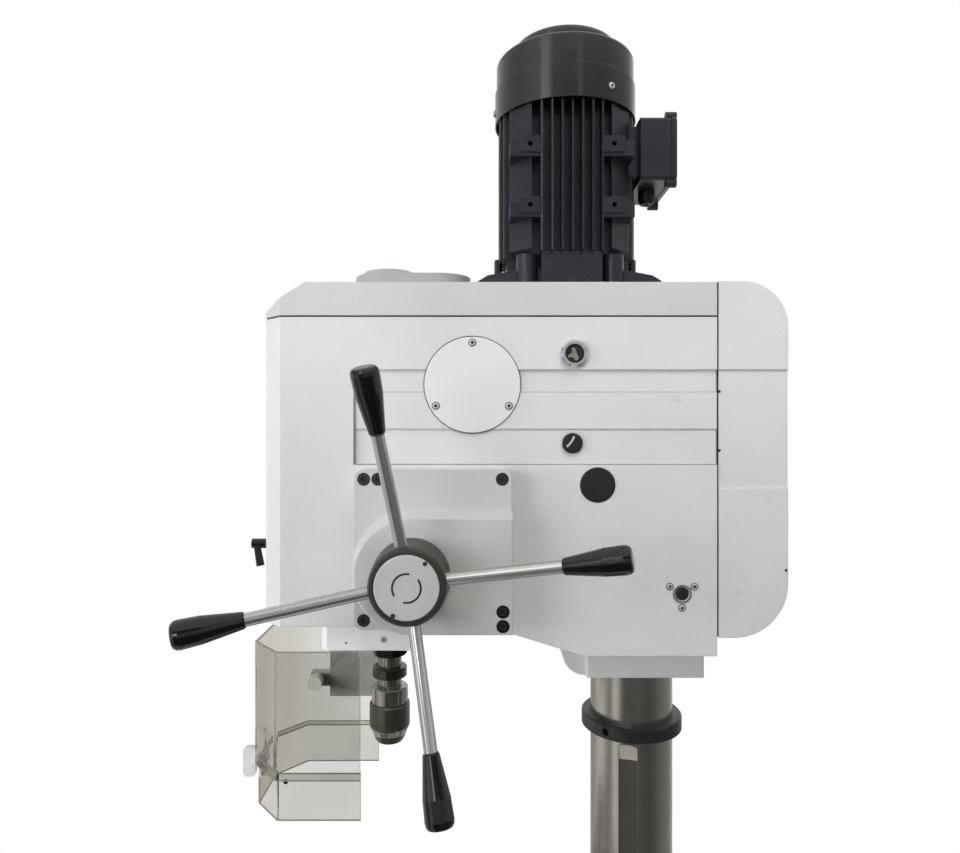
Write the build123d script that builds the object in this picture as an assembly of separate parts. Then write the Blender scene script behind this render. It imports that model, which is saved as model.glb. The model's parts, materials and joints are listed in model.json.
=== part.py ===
from build123d import *
import math
import os

os.makedirs("parts", exist_ok=True)

# Geared column drill. Millimetres. The column axis is X = 0, Y = 0 and the floor is Z = 0.
# The machine faces -Y, and its feed levers stand on the +X side.

# Fits between pieces
seat_gap = 0.05
run_gap = 0.05
slide_gap = 0.3
mesh_backlash = 0.12

# Base and column
base_half_width = 215.0
base_front_y = -510.0
base_rear_y = 150.0
base_height = 60.0
base_corner_radius = 45.0
base_top_chamfer = 10.0
anchor_radius = 8.0
anchor_inset_x = 40.0
anchor_inset_y = 45.0
work_pad_margin = 42.0
work_pad_height = 6.0
work_pad_rear_y = -160.0
base_skin = 16.0
base_rim = 22.0
base_rib = 14.0
base_rib_x = 75.0
base_rib_y = -320.0
anchor_boss_radius = 26.0
flange_radius = 125.0
flange_thickness = 26.0
flange_hub_radius = 74.0
flange_hub_height = 105.0
flange_bolt_circle = 102.0
flange_bolt_radius = 7.0
flange_bolt_depth = 34.0
bolt_head_flats = 22.0
bolt_head_height = 9.0
column_radius = 57.5
column_bore = 38.0
column_rise_in_head = 125.0
groove_angle = -16.0
groove_width = 25.0
groove_depth = 9.5
groove_run_past = 46.0
groove_top_drop = 130.0
groove_runout_rise = 24.0
collar_radius = 70.2
collar_drop = 79.0
collar_height = 20.5
collar_edge = 2.0
collar_screw_radius = 5.0

# Table lift rack, in the column groove
lift_module = 2.0
lift_teeth = 16
lift_rack_tip = 55.0
lift_rack_addendum = 1.8
table_drop = 380.0
table_rise = 130.0
lift_rack_side_gap = 0.1

# Table and its bracket
table_seat_rise = 13.0
table_thickness = 45.0
table_half_width = 200.0
table_half_depth = 190.0
table_corner_radius = 28.0
slot_mouth_width = 14.0
slot_mouth_depth = 13.0
slot_foot_width = 24.0
slot_foot_depth = 11.0
slot_spacing = 160.0
table_stub_radius = 32.0
table_stub_length = 70.0
bracket_low_z = 560.0
bracket_sleeve_height = 152.0
bracket_sleeve_radius = 82.0
bracket_arm_half_width = 46.0
bracket_arm_drop = 96.0
bracket_arm_rise = 14.0
bracket_seat_radius = 72.0
bracket_lug_reach = 112.0
bracket_lug_half_width = 30.0
bracket_split = 4.0
lift_shaft_radius = 9.0
lift_pinion_width = 20.0
lift_box_half_width = 30.0
lift_box_wall = 10.0
crank_radius = 150.0
crank_arm_thickness = 12.0
crank_hub_radius = 17.0
crank_grip_length = 85.0
crank_grip_radius = 13.0
crank_pin_radius = 6.0
lock_stud_radius = 8.0
lock_handle_length = 120.0

# Head casting
head_half_width = 170.0
head_front_y = -480.0
head_rear_y = 67.0
head_bottom_front_z = 1275.0
head_height = 371.0
head_rear_drop = 35.0
head_slope_front_y = -205.0
head_slope_length = 113.0
head_corner_chamfer = 24.0
head_wall = 10.0
head_floor = 14.0
band_front_y = -366.0
band_drop = 63.0
band_upper_height = 27.0
band_middle_height = 44.0
band_lower_height = 43.0
band_deep = 3.0
band_shallow = 1.2
clamp_half_width = 96.0
clamp_front_y = -78.0
clamp_rear_y = 75.0
clamp_depth = 52.0
clamp_edge_radius = 2.5
clamp_gusset_half_width = 85.0
clamp_gusset_depth = 30.0
clamp_gusset_radius = 29.0
socket_radius = 80.0
lid_height = 42.0
lid_bevel_length = 54.0
lid_edge_height = 9.0
lid_wall = 8.0

# Spindle, quill and feed
feed_y = -293.4
feed_rise = 71.6
feed_module = 3.0
feed_teeth = 14
feed_rack_offset = 32.0
feed_rack_addendum = 2.4
feed_shaft_radius = 12.0
feed_pinion_half_width = 15.0
quill_radius = 40.0
quill_gear_clear = 16.0
quill_travel = 130.0
quill_bore = 22.0
quill_bearing_radius = 32.0
quill_bearing_height = 18.0
guide_radius = 58.0
guide_height = 165.0
spindle_radius = 20.0
spindle_spline_radius = 16.0
spindle_rise = 24.0
spindle_shoulder = 2.0
nose_half_width = 60.0
nose_front_y = -432.0
nose_rear_y = -300.0
nose_height = 63.0

# Feed cover, hub and levers
cover_front_reach = 68.6
cover_rear_reach = 113.4
cover_rise = 5.0
cover_height = 185.0
cover_thickness = 30.0
cover_corner_radius = 10.0
boss_radius = 65.0
boss_height = 25.0
boss_draft = 8.0
boss_edge = 1.5
cover_screw_radius = 4.0
cover_screw_head_radius = 6.5
cover_screw_head_height = 8.0
cover_screw_inset = 11.0
hub_back_radius = 44.0
hub_front_radius = 40.5
hub_length = 53.7
hub_gap = 0.3
cap_radius = 34.5
cap_thickness = 4.0
cap_recess = 2.0
rod_radius = 7.0
rod_tilt = 16.0
rod_first_angle = 9.5
rod_count = 4
rod_root_x = 256.0
rod_root_reach = 20.0
lever_reach = 239.5
grip_length = 70.0
grip_neck_radius = 8.8
grip_end_radius = 15.0
grip_taper_share = 0.6
grip_socket = 30.0
spring_housing_radius = 52.0
spring_housing_length = 34.0

# Chuck, from the spindle down
chuck_jaw_count = 3
nut_radius = 25.6
nut_turn = 19.5
nut_gap = 1.5
nut_height = 21.5
nut_chamfer = 3.0
neck_radius = 16.8
upper_neck_length = 17.0
ring_radius = 24.5
ring_height = 14.0
lower_neck_length = 14.0
chuck_collar_height = 22.5
chuck_sleeve_height = 35.5
chuck_nose_band_height = 8.5
chuck_nose_height = 11.5
chuck_body_radius = 26.0
chuck_sleeve_radius = 28.7
chuck_core_radius = 20.0
chuck_nose_radius = 18.0
jaw_grip_radius = 6.5
jaw_outer_radius = 11.5
jaw_angle = 50.0
jaw_length = 46.0
jaw_gap = 0.3

# Chuck guard
guard_half_width = 90.0
guard_rear_y = -374.0
guard_depth = 153.0
guard_bevel_depth = 41.0
guard_front_half_width = 42.0
guard_wall = 4.0
guard_drop = 56.0
guard_height = 169.0
guard_bend_radius = 10.0
guard_slide_overlap = 8.0
guard_slide_hang = 54.0
guard_screw_drop = 15.0
guard_screw_radius = 4.0
guard_wing_reach = 21.0
guard_wing_length = 18.0
guard_wing_thickness = 8.0
guard_hub_radius = 8.0
guard_hub_length = 15.0
guard_rise = 40.0
guard_fall = 4.0
guard_tab_half_width = 15.0
guard_tab_lip = 7.0
guard_tab_corner = 5.0
guard_corner_radius = 10.0
guard_knob_radius = 11.0
guard_knob_length = 16.0
guard_post_clear = 13.0
guard_post_back = 2.0
guard_post_radius = 7.0
guard_box_length = 75.0
guard_box_rise = 44.0
guard_box_height = 72.0
guard_box_depth = 20.0

# Gear train, all shafts in the plane X = 0
train_module = 2.0
pinion_teeth = 20
counter_wheel_teeth = 54
counter_pinion_teeth = 26
lay_wheel_teeth = 56
lay_pinion_teeth = 28
sleeve_wheel_teeth = 67
first_pair_drop = 37.0
second_pair_drop = 68.0
third_pair_drop = 100.0
gear_width = 20.0
train_shaft_radius = 12.0
bearing_radius = 20.0
bearing_height = 14.0
web_drop = 168.0
web_reach = 45.0
sleeve_hub_radius = 27.0
sleeve_bearing_radius = 40.0

# Motor
motor_flange_radius = 138.0
motor_flange_half_depth = 62.0
motor_flange_reach = 126.0
motor_flange_edge = 22.0
motor_flange_slope = 15.0
motor_flange_rise = 31.0
motor_flange_top = 41.0
motor_flange_height = 58.0
shield_reach = 84.0
shield_half_width = 40.0
shield_core_radius = 72.0
shield_lobe_radius = 15.0
shield_lobe_place = 58.0
frame_height = 206.0
frame_core_radius = 74.0
frame_fin_radius = 94.0
frame_fin_thickness = 2.6
frame_fin_pitch = 13.4
frame_fin_count = 7
frame_bay_half_width = 41.5
frame_side_reach = 86.0
frame_pad_reach = 95.0
frame_foot_chamfer = 6.0
frame_channel_width = 11.5
frame_channel_depth = 20.0
frame_lug_rise = 60.0
frame_lug_pitch = 80.0
frame_lug_half_height = 10.5
frame_lug_reach = 69.0
frame_lug_face = 89.0
frame_lug_ear_reach = 82.0
frame_lug_ear_drop = 5.0
frame_lug_ear_step = 2.0
frame_lug_hole_radius = 3.3
rotor_radius = 45.0
air_gap = 0.6
motor_shaft_reach = 46.0
fan_radius = 84.0
fan_lift = 14.0
fan_height = 24.0
fan_blades = 8
cowl_radius = 99.5
cowl_overlap = 8.0
cowl_drum_height = 87.0
cowl_shoulder_radius = 5.0
cowl_wall = 2.0
cowl_band_height = 46.0
cowl_band_step = 2.2
cowl_disc_radius = 74.0
cowl_disc_height = 23.0
cowl_slot_width = 6.0
cowl_slot_rings = 3
terminal_half_width = 58.5
terminal_height = 85.0
terminal_drop = 9.0
terminal_reach = 96.4
terminal_depth = 42.0
terminal_lid_thickness = 7.5
terminal_wall = 4.0
terminal_ear_radius = 6.0
terminal_ear_depth = 7.0
terminal_ear_inset = 8.0
terminal_ear_out = 3.0
gland_radius = 12.0
gland_length = 17.0

# Covers, plugs and rear cabinet
inspection_y = -226.0
inspection_drop = 81.0
inspection_radius = 57.5
inspection_thickness = 4.0
inspection_rim = 6.0
inspection_gap = 0.9
sight_y = -104.0
sight_drop = 44.0
sight_radius = 16.5
sight_lens_radius = 11.3
small_plug_y = -106.0
small_plug_drop = 151.0
small_plug_radius = 12.0
large_plug_y = -76.0
large_plug_drop = 201.0
large_plug_radius = 21.0
pivot_plug_y = 25.0
pivot_plug_drop = 331.0
pivot_plug_radius = 7.75
plug_proud = 1.5
cabinet_depth = 85.0
cabinet_height = 427.0
cabinet_top_radius = 55.0
cabinet_bottom_radius = 65.0
cabinet_wall = 4.0
cabinet_band_height = 142.0
cabinet_band_depth = 2.0
seam_width = 2.0
seam_depth = 3.0
spindle_cap_length = 164.0
spindle_cap_front_reach = 47.6
spindle_cap_half_width = 46.0
spindle_cap_height = 38.0
spindle_cap_dome = 8.0

# Front panel and controls
panel_half_width = 118.0
panel_drop = 36.0
panel_foot_rise = 35.0
panel_thickness = 4.0
panel_corner_radius = 12.0
button_radius = 11.0
button_bezel_radius = 15.0
button_proud = 7.0
button_travel = 4.0
button_stem_radius = 6.0
button_spacing = 46.0
button_drop = 101.0
selector_drop = 206.0
selector_x = -40.0
selector_radius = 30.0
selector_height = 24.0
selector_shaft_radius = 8.0
lock_lever_x = 132.0
lock_lever_rise = 94.0
lock_lever_length = 28.0
lock_lever_hub_radius = 6.0
lock_lever_proud = 21.0

# Heights and places that follow from the sizes above
head_seam_z = head_bottom_front_z + head_height
head_bottom_rear_z = head_bottom_front_z - head_rear_drop
head_slope_rear_y = head_slope_front_y + head_slope_length
clamp_low_z = head_bottom_rear_z - clamp_depth
lid_top_z = head_seam_z + lid_height
lid_bevel_low_z = head_seam_z + lid_edge_height
lid_bevel_top_y = head_front_y + lid_bevel_length
band_upper_z = head_seam_z - band_drop
band_upper_mid_z = band_upper_z - band_upper_height
band_lower_mid_z = band_upper_mid_z - band_middle_height
band_lower_z = band_lower_mid_z - band_lower_height
column_top_z = head_bottom_front_z + column_rise_in_head
collar_high_z = clamp_low_z - collar_drop
collar_low_z = collar_high_z - collar_height
feed_z = head_bottom_front_z + feed_rise
guide_high_z = head_bottom_front_z + guide_height
nose_low_z = head_bottom_front_z - nose_height
quill_low_z = nose_low_z
cover_front_y = feed_y - cover_front_reach
cover_rear_y = feed_y + cover_rear_reach
cover_low_z = head_bottom_front_z + cover_rise
cover_high_z = cover_low_z + cover_height
nut_high_z = quill_low_z - nut_gap
nut_low_z = nut_high_z - nut_height
ring_high_z = nut_low_z - upper_neck_length
ring_low_z = ring_high_z - ring_height
chuck_top_z = ring_low_z - lower_neck_length
chuck_band_z = chuck_top_z - chuck_collar_height
chuck_sleeve_low_z = chuck_band_z - chuck_sleeve_height
chuck_nose_band_z = chuck_sleeve_low_z - chuck_nose_band_height
chuck_nose_z = chuck_nose_band_z - chuck_nose_height
guard_front_y = guard_rear_y - guard_depth
guard_bevel_y = guard_front_y + guard_bevel_depth
guard_high_z = head_bottom_front_z - guard_drop
guard_mid_z = guard_high_z - guard_height
guard_low_z = guard_mid_z - guard_slide_hang
guard_slide_high_z = guard_mid_z + guard_slide_overlap
guard_screw_z = guard_mid_z - guard_screw_drop
guard_post_x = -guard_half_width - guard_post_clear
guard_post_y = guard_rear_y - guard_post_back
guard_box_front_y = guard_post_y - guard_box_length
guard_box_low_z = guard_mid_z + guard_box_rise
guard_box_high_z = guard_box_low_z + guard_box_height
first_pair_z = head_seam_z - first_pair_drop
second_pair_z = head_seam_z - second_pair_drop
third_pair_z = head_seam_z - third_pair_drop
quill_high_z = third_pair_z - quill_gear_clear
spindle_top_z = lid_top_z + spindle_rise
web_low_z = head_seam_z - web_drop
frame_low_z = lid_top_z + motor_flange_height
frame_high_z = frame_low_z + frame_height
frame_lug_low_z = frame_low_z + frame_lug_rise
motor_shaft_top_z = frame_high_z + motor_shaft_reach
fan_low_z = frame_high_z + fan_lift
cowl_low_z = frame_high_z - cowl_overlap
cowl_shoulder_z = cowl_low_z + cowl_drum_height
cowl_band_z = cowl_low_z + cowl_band_height
cowl_top_z = cowl_shoulder_z + cowl_disc_height
terminal_high_z = cowl_low_z - terminal_drop
terminal_low_z = terminal_high_z - terminal_height
gland_low_z = terminal_low_z - gland_length
inspection_z = head_seam_z - inspection_drop
sight_z = head_seam_z - sight_drop
small_plug_z = head_seam_z - small_plug_drop
large_plug_z = head_seam_z - large_plug_drop
pivot_plug_z = head_seam_z - pivot_plug_drop
cabinet_rear_y = head_rear_y + cabinet_depth
cabinet_high_z = lid_top_z + 1
cabinet_low_z = cabinet_high_z - cabinet_height
cabinet_band_low_z = band_upper_z - cabinet_band_height
panel_high_z = head_seam_z - panel_drop
panel_low_z = head_bottom_front_z + panel_foot_rise
button_z = head_seam_z - button_drop
selector_z = head_seam_z - selector_drop
lock_lever_z = head_bottom_front_z + lock_lever_rise
feed_pitch_radius = feed_module * feed_teeth / 2
spindle_y = feed_y - feed_pitch_radius - feed_rack_offset
lay_y = spindle_y + train_module * (lay_pinion_teeth + sleeve_wheel_teeth) / 2
counter_y = lay_y + train_module * (counter_pinion_teeth + lay_wheel_teeth) / 2
motor_y = counter_y + train_module * (pinion_teeth + counter_wheel_teeth) / 2
web_front_y = lay_y - web_reach
web_rear_y = counter_y + web_reach
terminal_front_y = motor_y + terminal_reach
terminal_seam_y = terminal_front_y + terminal_depth
terminal_rear_y = terminal_seam_y + terminal_lid_thickness
gland_y = terminal_front_y + terminal_depth / 2
spindle_cap_front_y = spindle_y - spindle_cap_front_reach
spindle_cap_rear_y = spindle_cap_front_y + spindle_cap_length
lift_pitch_radius = lift_module * lift_teeth / 2
lift_rack_pitch = lift_rack_tip - lift_rack_addendum
lift_shaft_reach = lift_rack_pitch + lift_pitch_radius
cover_face_x = head_half_width + cover_thickness
boss_face_x = cover_face_x + boss_height
hub_back_x = boss_face_x + hub_gap
hub_front_x = hub_back_x + hub_length
table_under_z = bracket_low_z + bracket_sleeve_height + table_seat_rise
table_top_z = table_under_z + table_thickness
lift_z = bracket_low_z + bracket_sleeve_height / 2
groove_low_z = lift_z - table_drop - groove_run_past
groove_high_z = clamp_low_z - groove_top_drop
groove_direction = Vector(1, 0, 0).rotate(Axis.Z, groove_angle)
lift_axis = Vector(0, 1, 0).rotate(Axis.Z, groove_angle)
lift_origin = groove_direction * lift_shaft_reach + Vector(0, 0, lift_z)
lift_plane = Plane(origin=lift_origin, x_dir=groove_direction, z_dir=lift_axis)


# Plain shapes in the machine's own frame
def cylinder_z(radius, z_low, z_high, x=0.0, y=0.0):
    return Pos(x, y, (z_low + z_high) / 2) * Cylinder(radius, z_high - z_low)


def cylinder_x(radius, x_low, x_high, y, z):
    return Pos((x_low + x_high) / 2, y, z) * Rot(0, 90, 0) * Cylinder(radius, x_high - x_low)


def cylinder_y(radius, y_low, y_high, x, z):
    return Pos(x, (y_low + y_high) / 2, z) * Rot(90, 0, 0) * Cylinder(radius, y_high - y_low)


def block(x_low, x_high, y_low, y_high, z_low, z_high):
    middle = Pos((x_low + x_high) / 2, (y_low + y_high) / 2, (z_low + z_high) / 2)
    return middle * Box(x_high - x_low, y_high - y_low, z_high - z_low)


def turned(profile, x=0.0, y=0.0):
    face = make_face(Polyline(*[(r, 0, z) for r, z in profile], close=True))
    return Pos(x, y, 0) * revolve(face, Axis.Z, 360)


def turned_x(profile, y, z):
    return Pos(0, y, z) * Rot(0, 90, 0) * turned(profile)


def side_prism(points, x_low, x_high):
    face = make_face(Polyline(*[(x_low, y, z) for y, z in points], close=True))
    return extrude(face, amount=x_high - x_low, dir=(1, 0, 0))


def plan_prism(points, z_low, z_high):
    face = make_face(Polyline(*[(x, y, z_low) for x, y in points], close=True))
    return extrude(face, amount=z_high - z_low, dir=(0, 0, 1))


def rounded_plate(half_x, y_low, y_high, z_low, z_high, corner):
    plate = block(-half_x, half_x, y_low, y_high, z_low, z_high)
    return fillet(plate.edges().filter_by(Axis.Z), corner)


def save(node, shape):
    export_step(shape, os.path.join("parts", node + ".step"))


# Gear teeth: each flank is an arc through three points of the involute
def involute(angle):
    return math.tan(angle) - angle


def gear(module, teeth, z_low, z_high, bore, gap_angle):
    pitch = module * teeth / 2
    base = pitch * math.cos(math.radians(20))
    root = pitch - 1.25 * module
    tip = pitch + module
    start = max(root, base)
    half = (math.pi * module / 2 - mesh_backlash) / (2 * pitch)
    first = math.radians(gap_angle) + math.pi / teeth

    def half_angle(radius):
        return half + involute(math.radians(20)) - involute(math.acos(min(1.0, base / radius)))

    def point(radius, angle):
        return (radius * math.cos(angle), radius * math.sin(angle))

    middle = (start + tip) / 2
    outline = []
    for tooth in range(teeth):
        centre = first + 2 * math.pi * tooth / teeth
        following = centre + 2 * math.pi / teeth
        sides = []
        for side in (-1, 1):
            foot = point(root, centre + side * half_angle(start))
            low = point(start, centre + side * half_angle(start))
            mid = point(middle, centre + side * half_angle(middle))
            high = point(tip, centre + side * half_angle(tip))
            sides.append((foot, low, mid, high))
        rising, falling = sides
        if start > root:
            outline.append(Line(rising[0], rising[1]))
            outline.append(Line(falling[1], falling[0]))
        outline.append(ThreePointArc(rising[1], rising[2], rising[3]))
        outline.append(Line(rising[3], falling[3]))
        outline.append(ThreePointArc(falling[3], falling[2], falling[1]))
        outline.append(Line(falling[0], point(root, following - half_angle(start))))
    wheel = extrude(make_face(outline), amount=z_high - z_low)
    return Pos(0, 0, z_low) * (wheel - cylinder_z(bore, -1, z_high - z_low + 1))


# A rack's outline from its first tooth to its last, as depth from the pitch line and height
def rack_outline(module, addendum, first_z, teeth):
    pitch = math.pi * module
    dedendum = 1.25 * module
    slope = math.tan(math.radians(20))
    half = pitch / 4 - mesh_backlash / 2
    points = []
    for tooth in range(teeth):
        centre = first_z + tooth * pitch
        points.append((-dedendum, centre - half - dedendum * slope))
        points.append((addendum, centre - half + addendum * slope))
        points.append((addendum, centre + half - addendum * slope))
        points.append((-dedendum, centre + half + dedendum * slope))
    return points


# Base and column
def base_plate():
    slab_top = base_height - work_pad_height
    plate = rounded_plate(base_half_width, base_front_y, base_rear_y, 0, slab_top, base_corner_radius)
    plate = chamfer(plate.faces().sort_by(Axis.Z)[-1].edges(), base_top_chamfer)
    pad_half = base_half_width - work_pad_margin
    pad = block(-pad_half, pad_half, base_front_y + work_pad_margin, work_pad_rear_y, slab_top - 1, base_height)
    plate += fillet(pad.edges().filter_by(Axis.Z), base_corner_radius / 3)
    plate += cylinder_z(flange_radius + base_top_chamfer, slab_top - 1, base_height)
    plate -= base_hollow()
    for x in (-1, 1):
        for y in anchor_rows():
            plate -= cylinder_z(anchor_radius, -1, slab_top + 1, x * (base_half_width - anchor_inset_x), y)
    return plate - flange_bolt_places(
        cylinder_z(flange_bolt_radius + seat_gap, base_height - flange_bolt_depth - 1, base_height + 1)
    )


def anchor_rows():
    return (base_front_y + anchor_inset_y, base_rear_y - anchor_inset_y)


# The base is hollow below, with a rim, three ribs, a drum under the column and a boss at each anchor
def base_hollow():
    high = base_height - work_pad_height - base_skin
    half = base_half_width - base_rim
    hollow = rounded_plate(half, base_front_y + base_rim, base_rear_y - base_rim, -1, high,
                           base_corner_radius - base_rim)
    drum = cylinder_z(flange_radius + base_top_chamfer, -1, high)
    hollow -= drum - cylinder_z(column_radius, -1, high)
    for x in (-1, 1):
        hollow -= block(x * base_rib_x - base_rib / 2, x * base_rib_x + base_rib / 2, base_front_y, 0, -1, high)
        for y in anchor_rows():
            hollow -= cylinder_z(anchor_boss_radius, -1, high, x * (base_half_width - anchor_inset_x), y)
    return hollow - block(-half, half, base_rib_y - base_rib / 2, base_rib_y + base_rib / 2, -1, high)


def flange_bolt_places(shape):
    copies = [Rot(0, 0, 45 + 90 * turn) * Pos(flange_bolt_circle, 0, 0) * shape for turn in range(4)]
    return Compound(children=copies)


def column_flange():
    bore = column_radius + seat_gap
    step = base_height + flange_thickness
    top = base_height + flange_hub_height
    flare = 8.0
    flange = turned([
        (bore, base_height), (flange_radius, base_height), (flange_radius, step),
        (flange_hub_radius + flare, step), (flange_hub_radius, step + 2 * flare),
        (flange_hub_radius, top), (bore, top),
    ])
    return flange - flange_bolt_places(cylinder_z(flange_bolt_radius + seat_gap, base_height - 1, step + 1))


def flange_bolts():
    step = base_height + flange_thickness
    shank = cylinder_z(flange_bolt_radius, base_height - flange_bolt_depth, step + 1)
    head = extrude(RegularPolygon(bolt_head_flats / 2, 6, major_radius=False), amount=bolt_head_height)
    return flange_bolt_places(shank + Pos(0, 0, step) * head)


def in_groove(shape):
    return Rot(0, 0, groove_angle) * shape


def column():
    floor_x = column_radius - groove_depth
    half = groove_width / 2
    tube = cylinder_z(column_radius, base_height, column_top_z)
    tube -= cylinder_z(column_bore, base_height - 1, column_top_z + 1)
    groove = block(floor_x, column_radius + 1, -half, half, groove_low_z, groove_high_z)
    past = column_radius + 1
    runout = extrude(make_face(Polyline(
        (floor_x, -half, groove_high_z), (past, -half, groove_high_z),
        (past, -half, groove_high_z + groove_runout_rise * (past - floor_x) / groove_depth), close=True)),
        amount=groove_width, dir=(0, 1, 0))
    return tube - in_groove(groove) - in_groove(runout)


def column_rack():
    pitch = math.pi * lift_module
    below = math.ceil((table_drop + lift_pitch_radius) / pitch)
    above = math.ceil((table_rise + lift_pitch_radius) / pitch)
    first_z = lift_z - below * pitch
    teeth = rack_outline(lift_module, lift_rack_addendum, first_z, below + above + 1)
    floor_x = column_radius - groove_depth
    half = groove_width / 2 - lift_rack_side_gap
    outline = [(lift_rack_pitch + depth, z) for depth, z in teeth]
    low = (floor_x, outline[0][1])
    high = (floor_x, outline[-1][1])
    face = make_face(Polyline(*[(x, -half, z) for x, z in [low] + outline + [high]], close=True))
    return in_groove(extrude(face, amount=2 * half, dir=(0, 1, 0)))


def column_collar():
    bore = column_radius + seat_gap
    ring = turned([
        (bore, collar_low_z), (collar_radius - collar_edge, collar_low_z),
        (collar_radius, collar_low_z + collar_edge), (collar_radius, collar_high_z - collar_edge),
        (collar_radius - collar_edge, collar_high_z), (bore, collar_high_z),
    ])
    middle = (collar_low_z + collar_high_z) / 2
    screw_hole = Rot(0, 0, -41) * cylinder_x(collar_screw_radius, 0, collar_radius + 1, 0, middle)
    return ring - screw_hole


# Table, bracket and lift
def table_bracket():
    top = bracket_low_z + bracket_sleeve_height
    arm_top = top - bracket_arm_rise
    seat_low = arm_top - bracket_seat_radius
    sleeve = cylinder_z(bracket_sleeve_radius, bracket_low_z, top)
    arm = side_prism([
        (0, arm_top - bracket_arm_drop), (spindle_y, seat_low), (spindle_y, arm_top), (0, arm_top),
    ], -bracket_arm_half_width, bracket_arm_half_width)
    seat = cylinder_z(bracket_seat_radius, seat_low, table_under_z - slide_gap, 0, spindle_y)
    lug = block(-bracket_lug_reach, 0, -bracket_lug_half_width, bracket_lug_half_width,
                lift_z - bracket_lug_half_width, lift_z + bracket_lug_half_width)
    box_radius = lift_shaft_radius + lift_box_wall
    lift_box = lift_plane * cylinder_z(box_radius, -lift_box_half_width, lift_bearing_end())
    pinion_box = lift_plane * cylinder_z(lift_pinion_clear() + lift_box_wall / 2, -lift_box_half_width / 2 - 4,
                                         lift_box_half_width / 2 + 4)
    body = sleeve + arm + seat + fillet(lug.edges().filter_by(Axis.Y), 10) + lift_box + pinion_box
    body -= cylinder_z(column_radius + slide_gap, bracket_low_z - 1, top + 1)
    body -= cylinder_z(table_stub_radius + run_gap, seat_low - 1, table_under_z + 1, 0, spindle_y)
    body -= block(-bracket_lug_reach - 1, -column_radius + 5, -bracket_split / 2, bracket_split / 2,
                  bracket_low_z - 1, top + 1)
    body -= cylinder_y(lock_stud_radius + run_gap, -bracket_lug_half_width - 1, bracket_lug_half_width + 1,
                       lock_stud_x(), lift_z)
    pocket_half = lift_pinion_width / 2 + 1
    body -= lift_plane * cylinder_z(lift_pinion_clear(), -pocket_half, pocket_half)
    return body - lift_plane * cylinder_z(lift_shaft_radius + run_gap, -lift_box_half_width - 1,
                                          lift_bearing_end() + 1)


def lift_bearing_end():
    return bracket_sleeve_radius + lift_box_wall


def lift_pinion_clear():
    return lift_pitch_radius + lift_module + 1


def lock_stud_x():
    return -(column_radius + bracket_lug_reach) / 2 - lock_stud_radius


def work_table():
    plate = rounded_plate(table_half_width, spindle_y - table_half_depth, spindle_y + table_half_depth,
                          table_under_z, table_top_z, table_corner_radius)
    foot_top = table_top_z - slot_mouth_depth
    for side in (-1, 1):
        x = side * slot_spacing / 2
        ends = (spindle_y - table_half_depth - 1, spindle_y + table_half_depth + 1)
        plate -= block(x - slot_mouth_width / 2, x + slot_mouth_width / 2, *ends, foot_top - 1, table_top_z + 1)
        plate -= block(x - slot_foot_width / 2, x + slot_foot_width / 2, *ends, foot_top - slot_foot_depth, foot_top)
    return plate + cylinder_z(table_stub_radius, table_under_z - table_stub_length, table_under_z + 1, 0, spindle_y)


def crank_plane_low():
    return lift_bearing_end() + slide_gap


def table_crank():
    low = crank_plane_low()
    high = low + crank_arm_thickness
    half = lift_pinion_width / 2
    shaft = cylinder_z(lift_shaft_radius, -lift_box_half_width, high)
    pinion = gear(lift_module, lift_teeth, -half, half, lift_shaft_radius - 1, 180)
    hub = cylinder_z(crank_hub_radius, low, high)
    arm = block(-crank_grip_radius, crank_grip_radius, 0, crank_radius, low, high)
    eye = cylinder_z(crank_grip_radius, low, high, 0, crank_radius)
    pin = cylinder_z(crank_pin_radius, high - 1, high + crank_grip_length - 12, 0, crank_radius)
    return lift_plane * (shaft + pinion + hub + arm + eye + pin)


def crank_grip():
    low = crank_plane_low() + crank_arm_thickness + slide_gap
    high = low + crank_grip_length
    waist = crank_grip_radius - 3
    bore = crank_pin_radius + run_gap
    grip = turned([
        (0, low), (waist, low), (crank_grip_radius, low + crank_grip_length / 3),
        (crank_grip_radius, high - 8), (waist, high), (0, high),
    ])
    return lift_plane * Pos(0, crank_radius, 0) * (grip - cylinder_z(bore, low - 1, high - 6))


def table_lock_lever():
    x = lock_stud_x()
    outer = bracket_lug_half_width + slide_gap
    stud = cylinder_y(lock_stud_radius, -outer, outer + 24, x, lift_z)
    nut = cylinder_y(lock_stud_radius + 6, -outer - 10, -outer, x, lift_z)
    hub = cylinder_y(lock_stud_radius + 6, outer, outer + 24, x, lift_z)
    handle = Pos(x, outer + 12, lift_z) * Rot(0, -60, 0) * (
        cylinder_z(6, 0, lock_handle_length) + Pos(0, 0, lock_handle_length) * Sphere(13)
    )
    return stud + nut + hub + handle


# Head: the casting and its lid share one plan, with bevelled front corners
def head_plan(inset, z_low, z_high):
    half = head_half_width - inset
    front = head_front_y + inset
    rear = head_rear_y - inset
    cut = head_corner_chamfer
    return plan_prism([
        (-half, rear), (half, rear), (half, front + cut), (half - cut, front),
        (-half + cut, front), (-half, front + cut),
    ], z_low, z_high)


def head_side(inset, floor, z_high):
    half = head_half_width - inset
    return side_prism([
        (head_front_y + inset, head_bottom_front_z + floor), (head_slope_front_y, head_bottom_front_z + floor),
        (head_slope_rear_y, head_bottom_rear_z + floor), (head_rear_y - inset, head_bottom_rear_z + floor),
        (head_rear_y - inset, z_high), (head_front_y + inset, z_high),
    ], -half, half)


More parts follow.
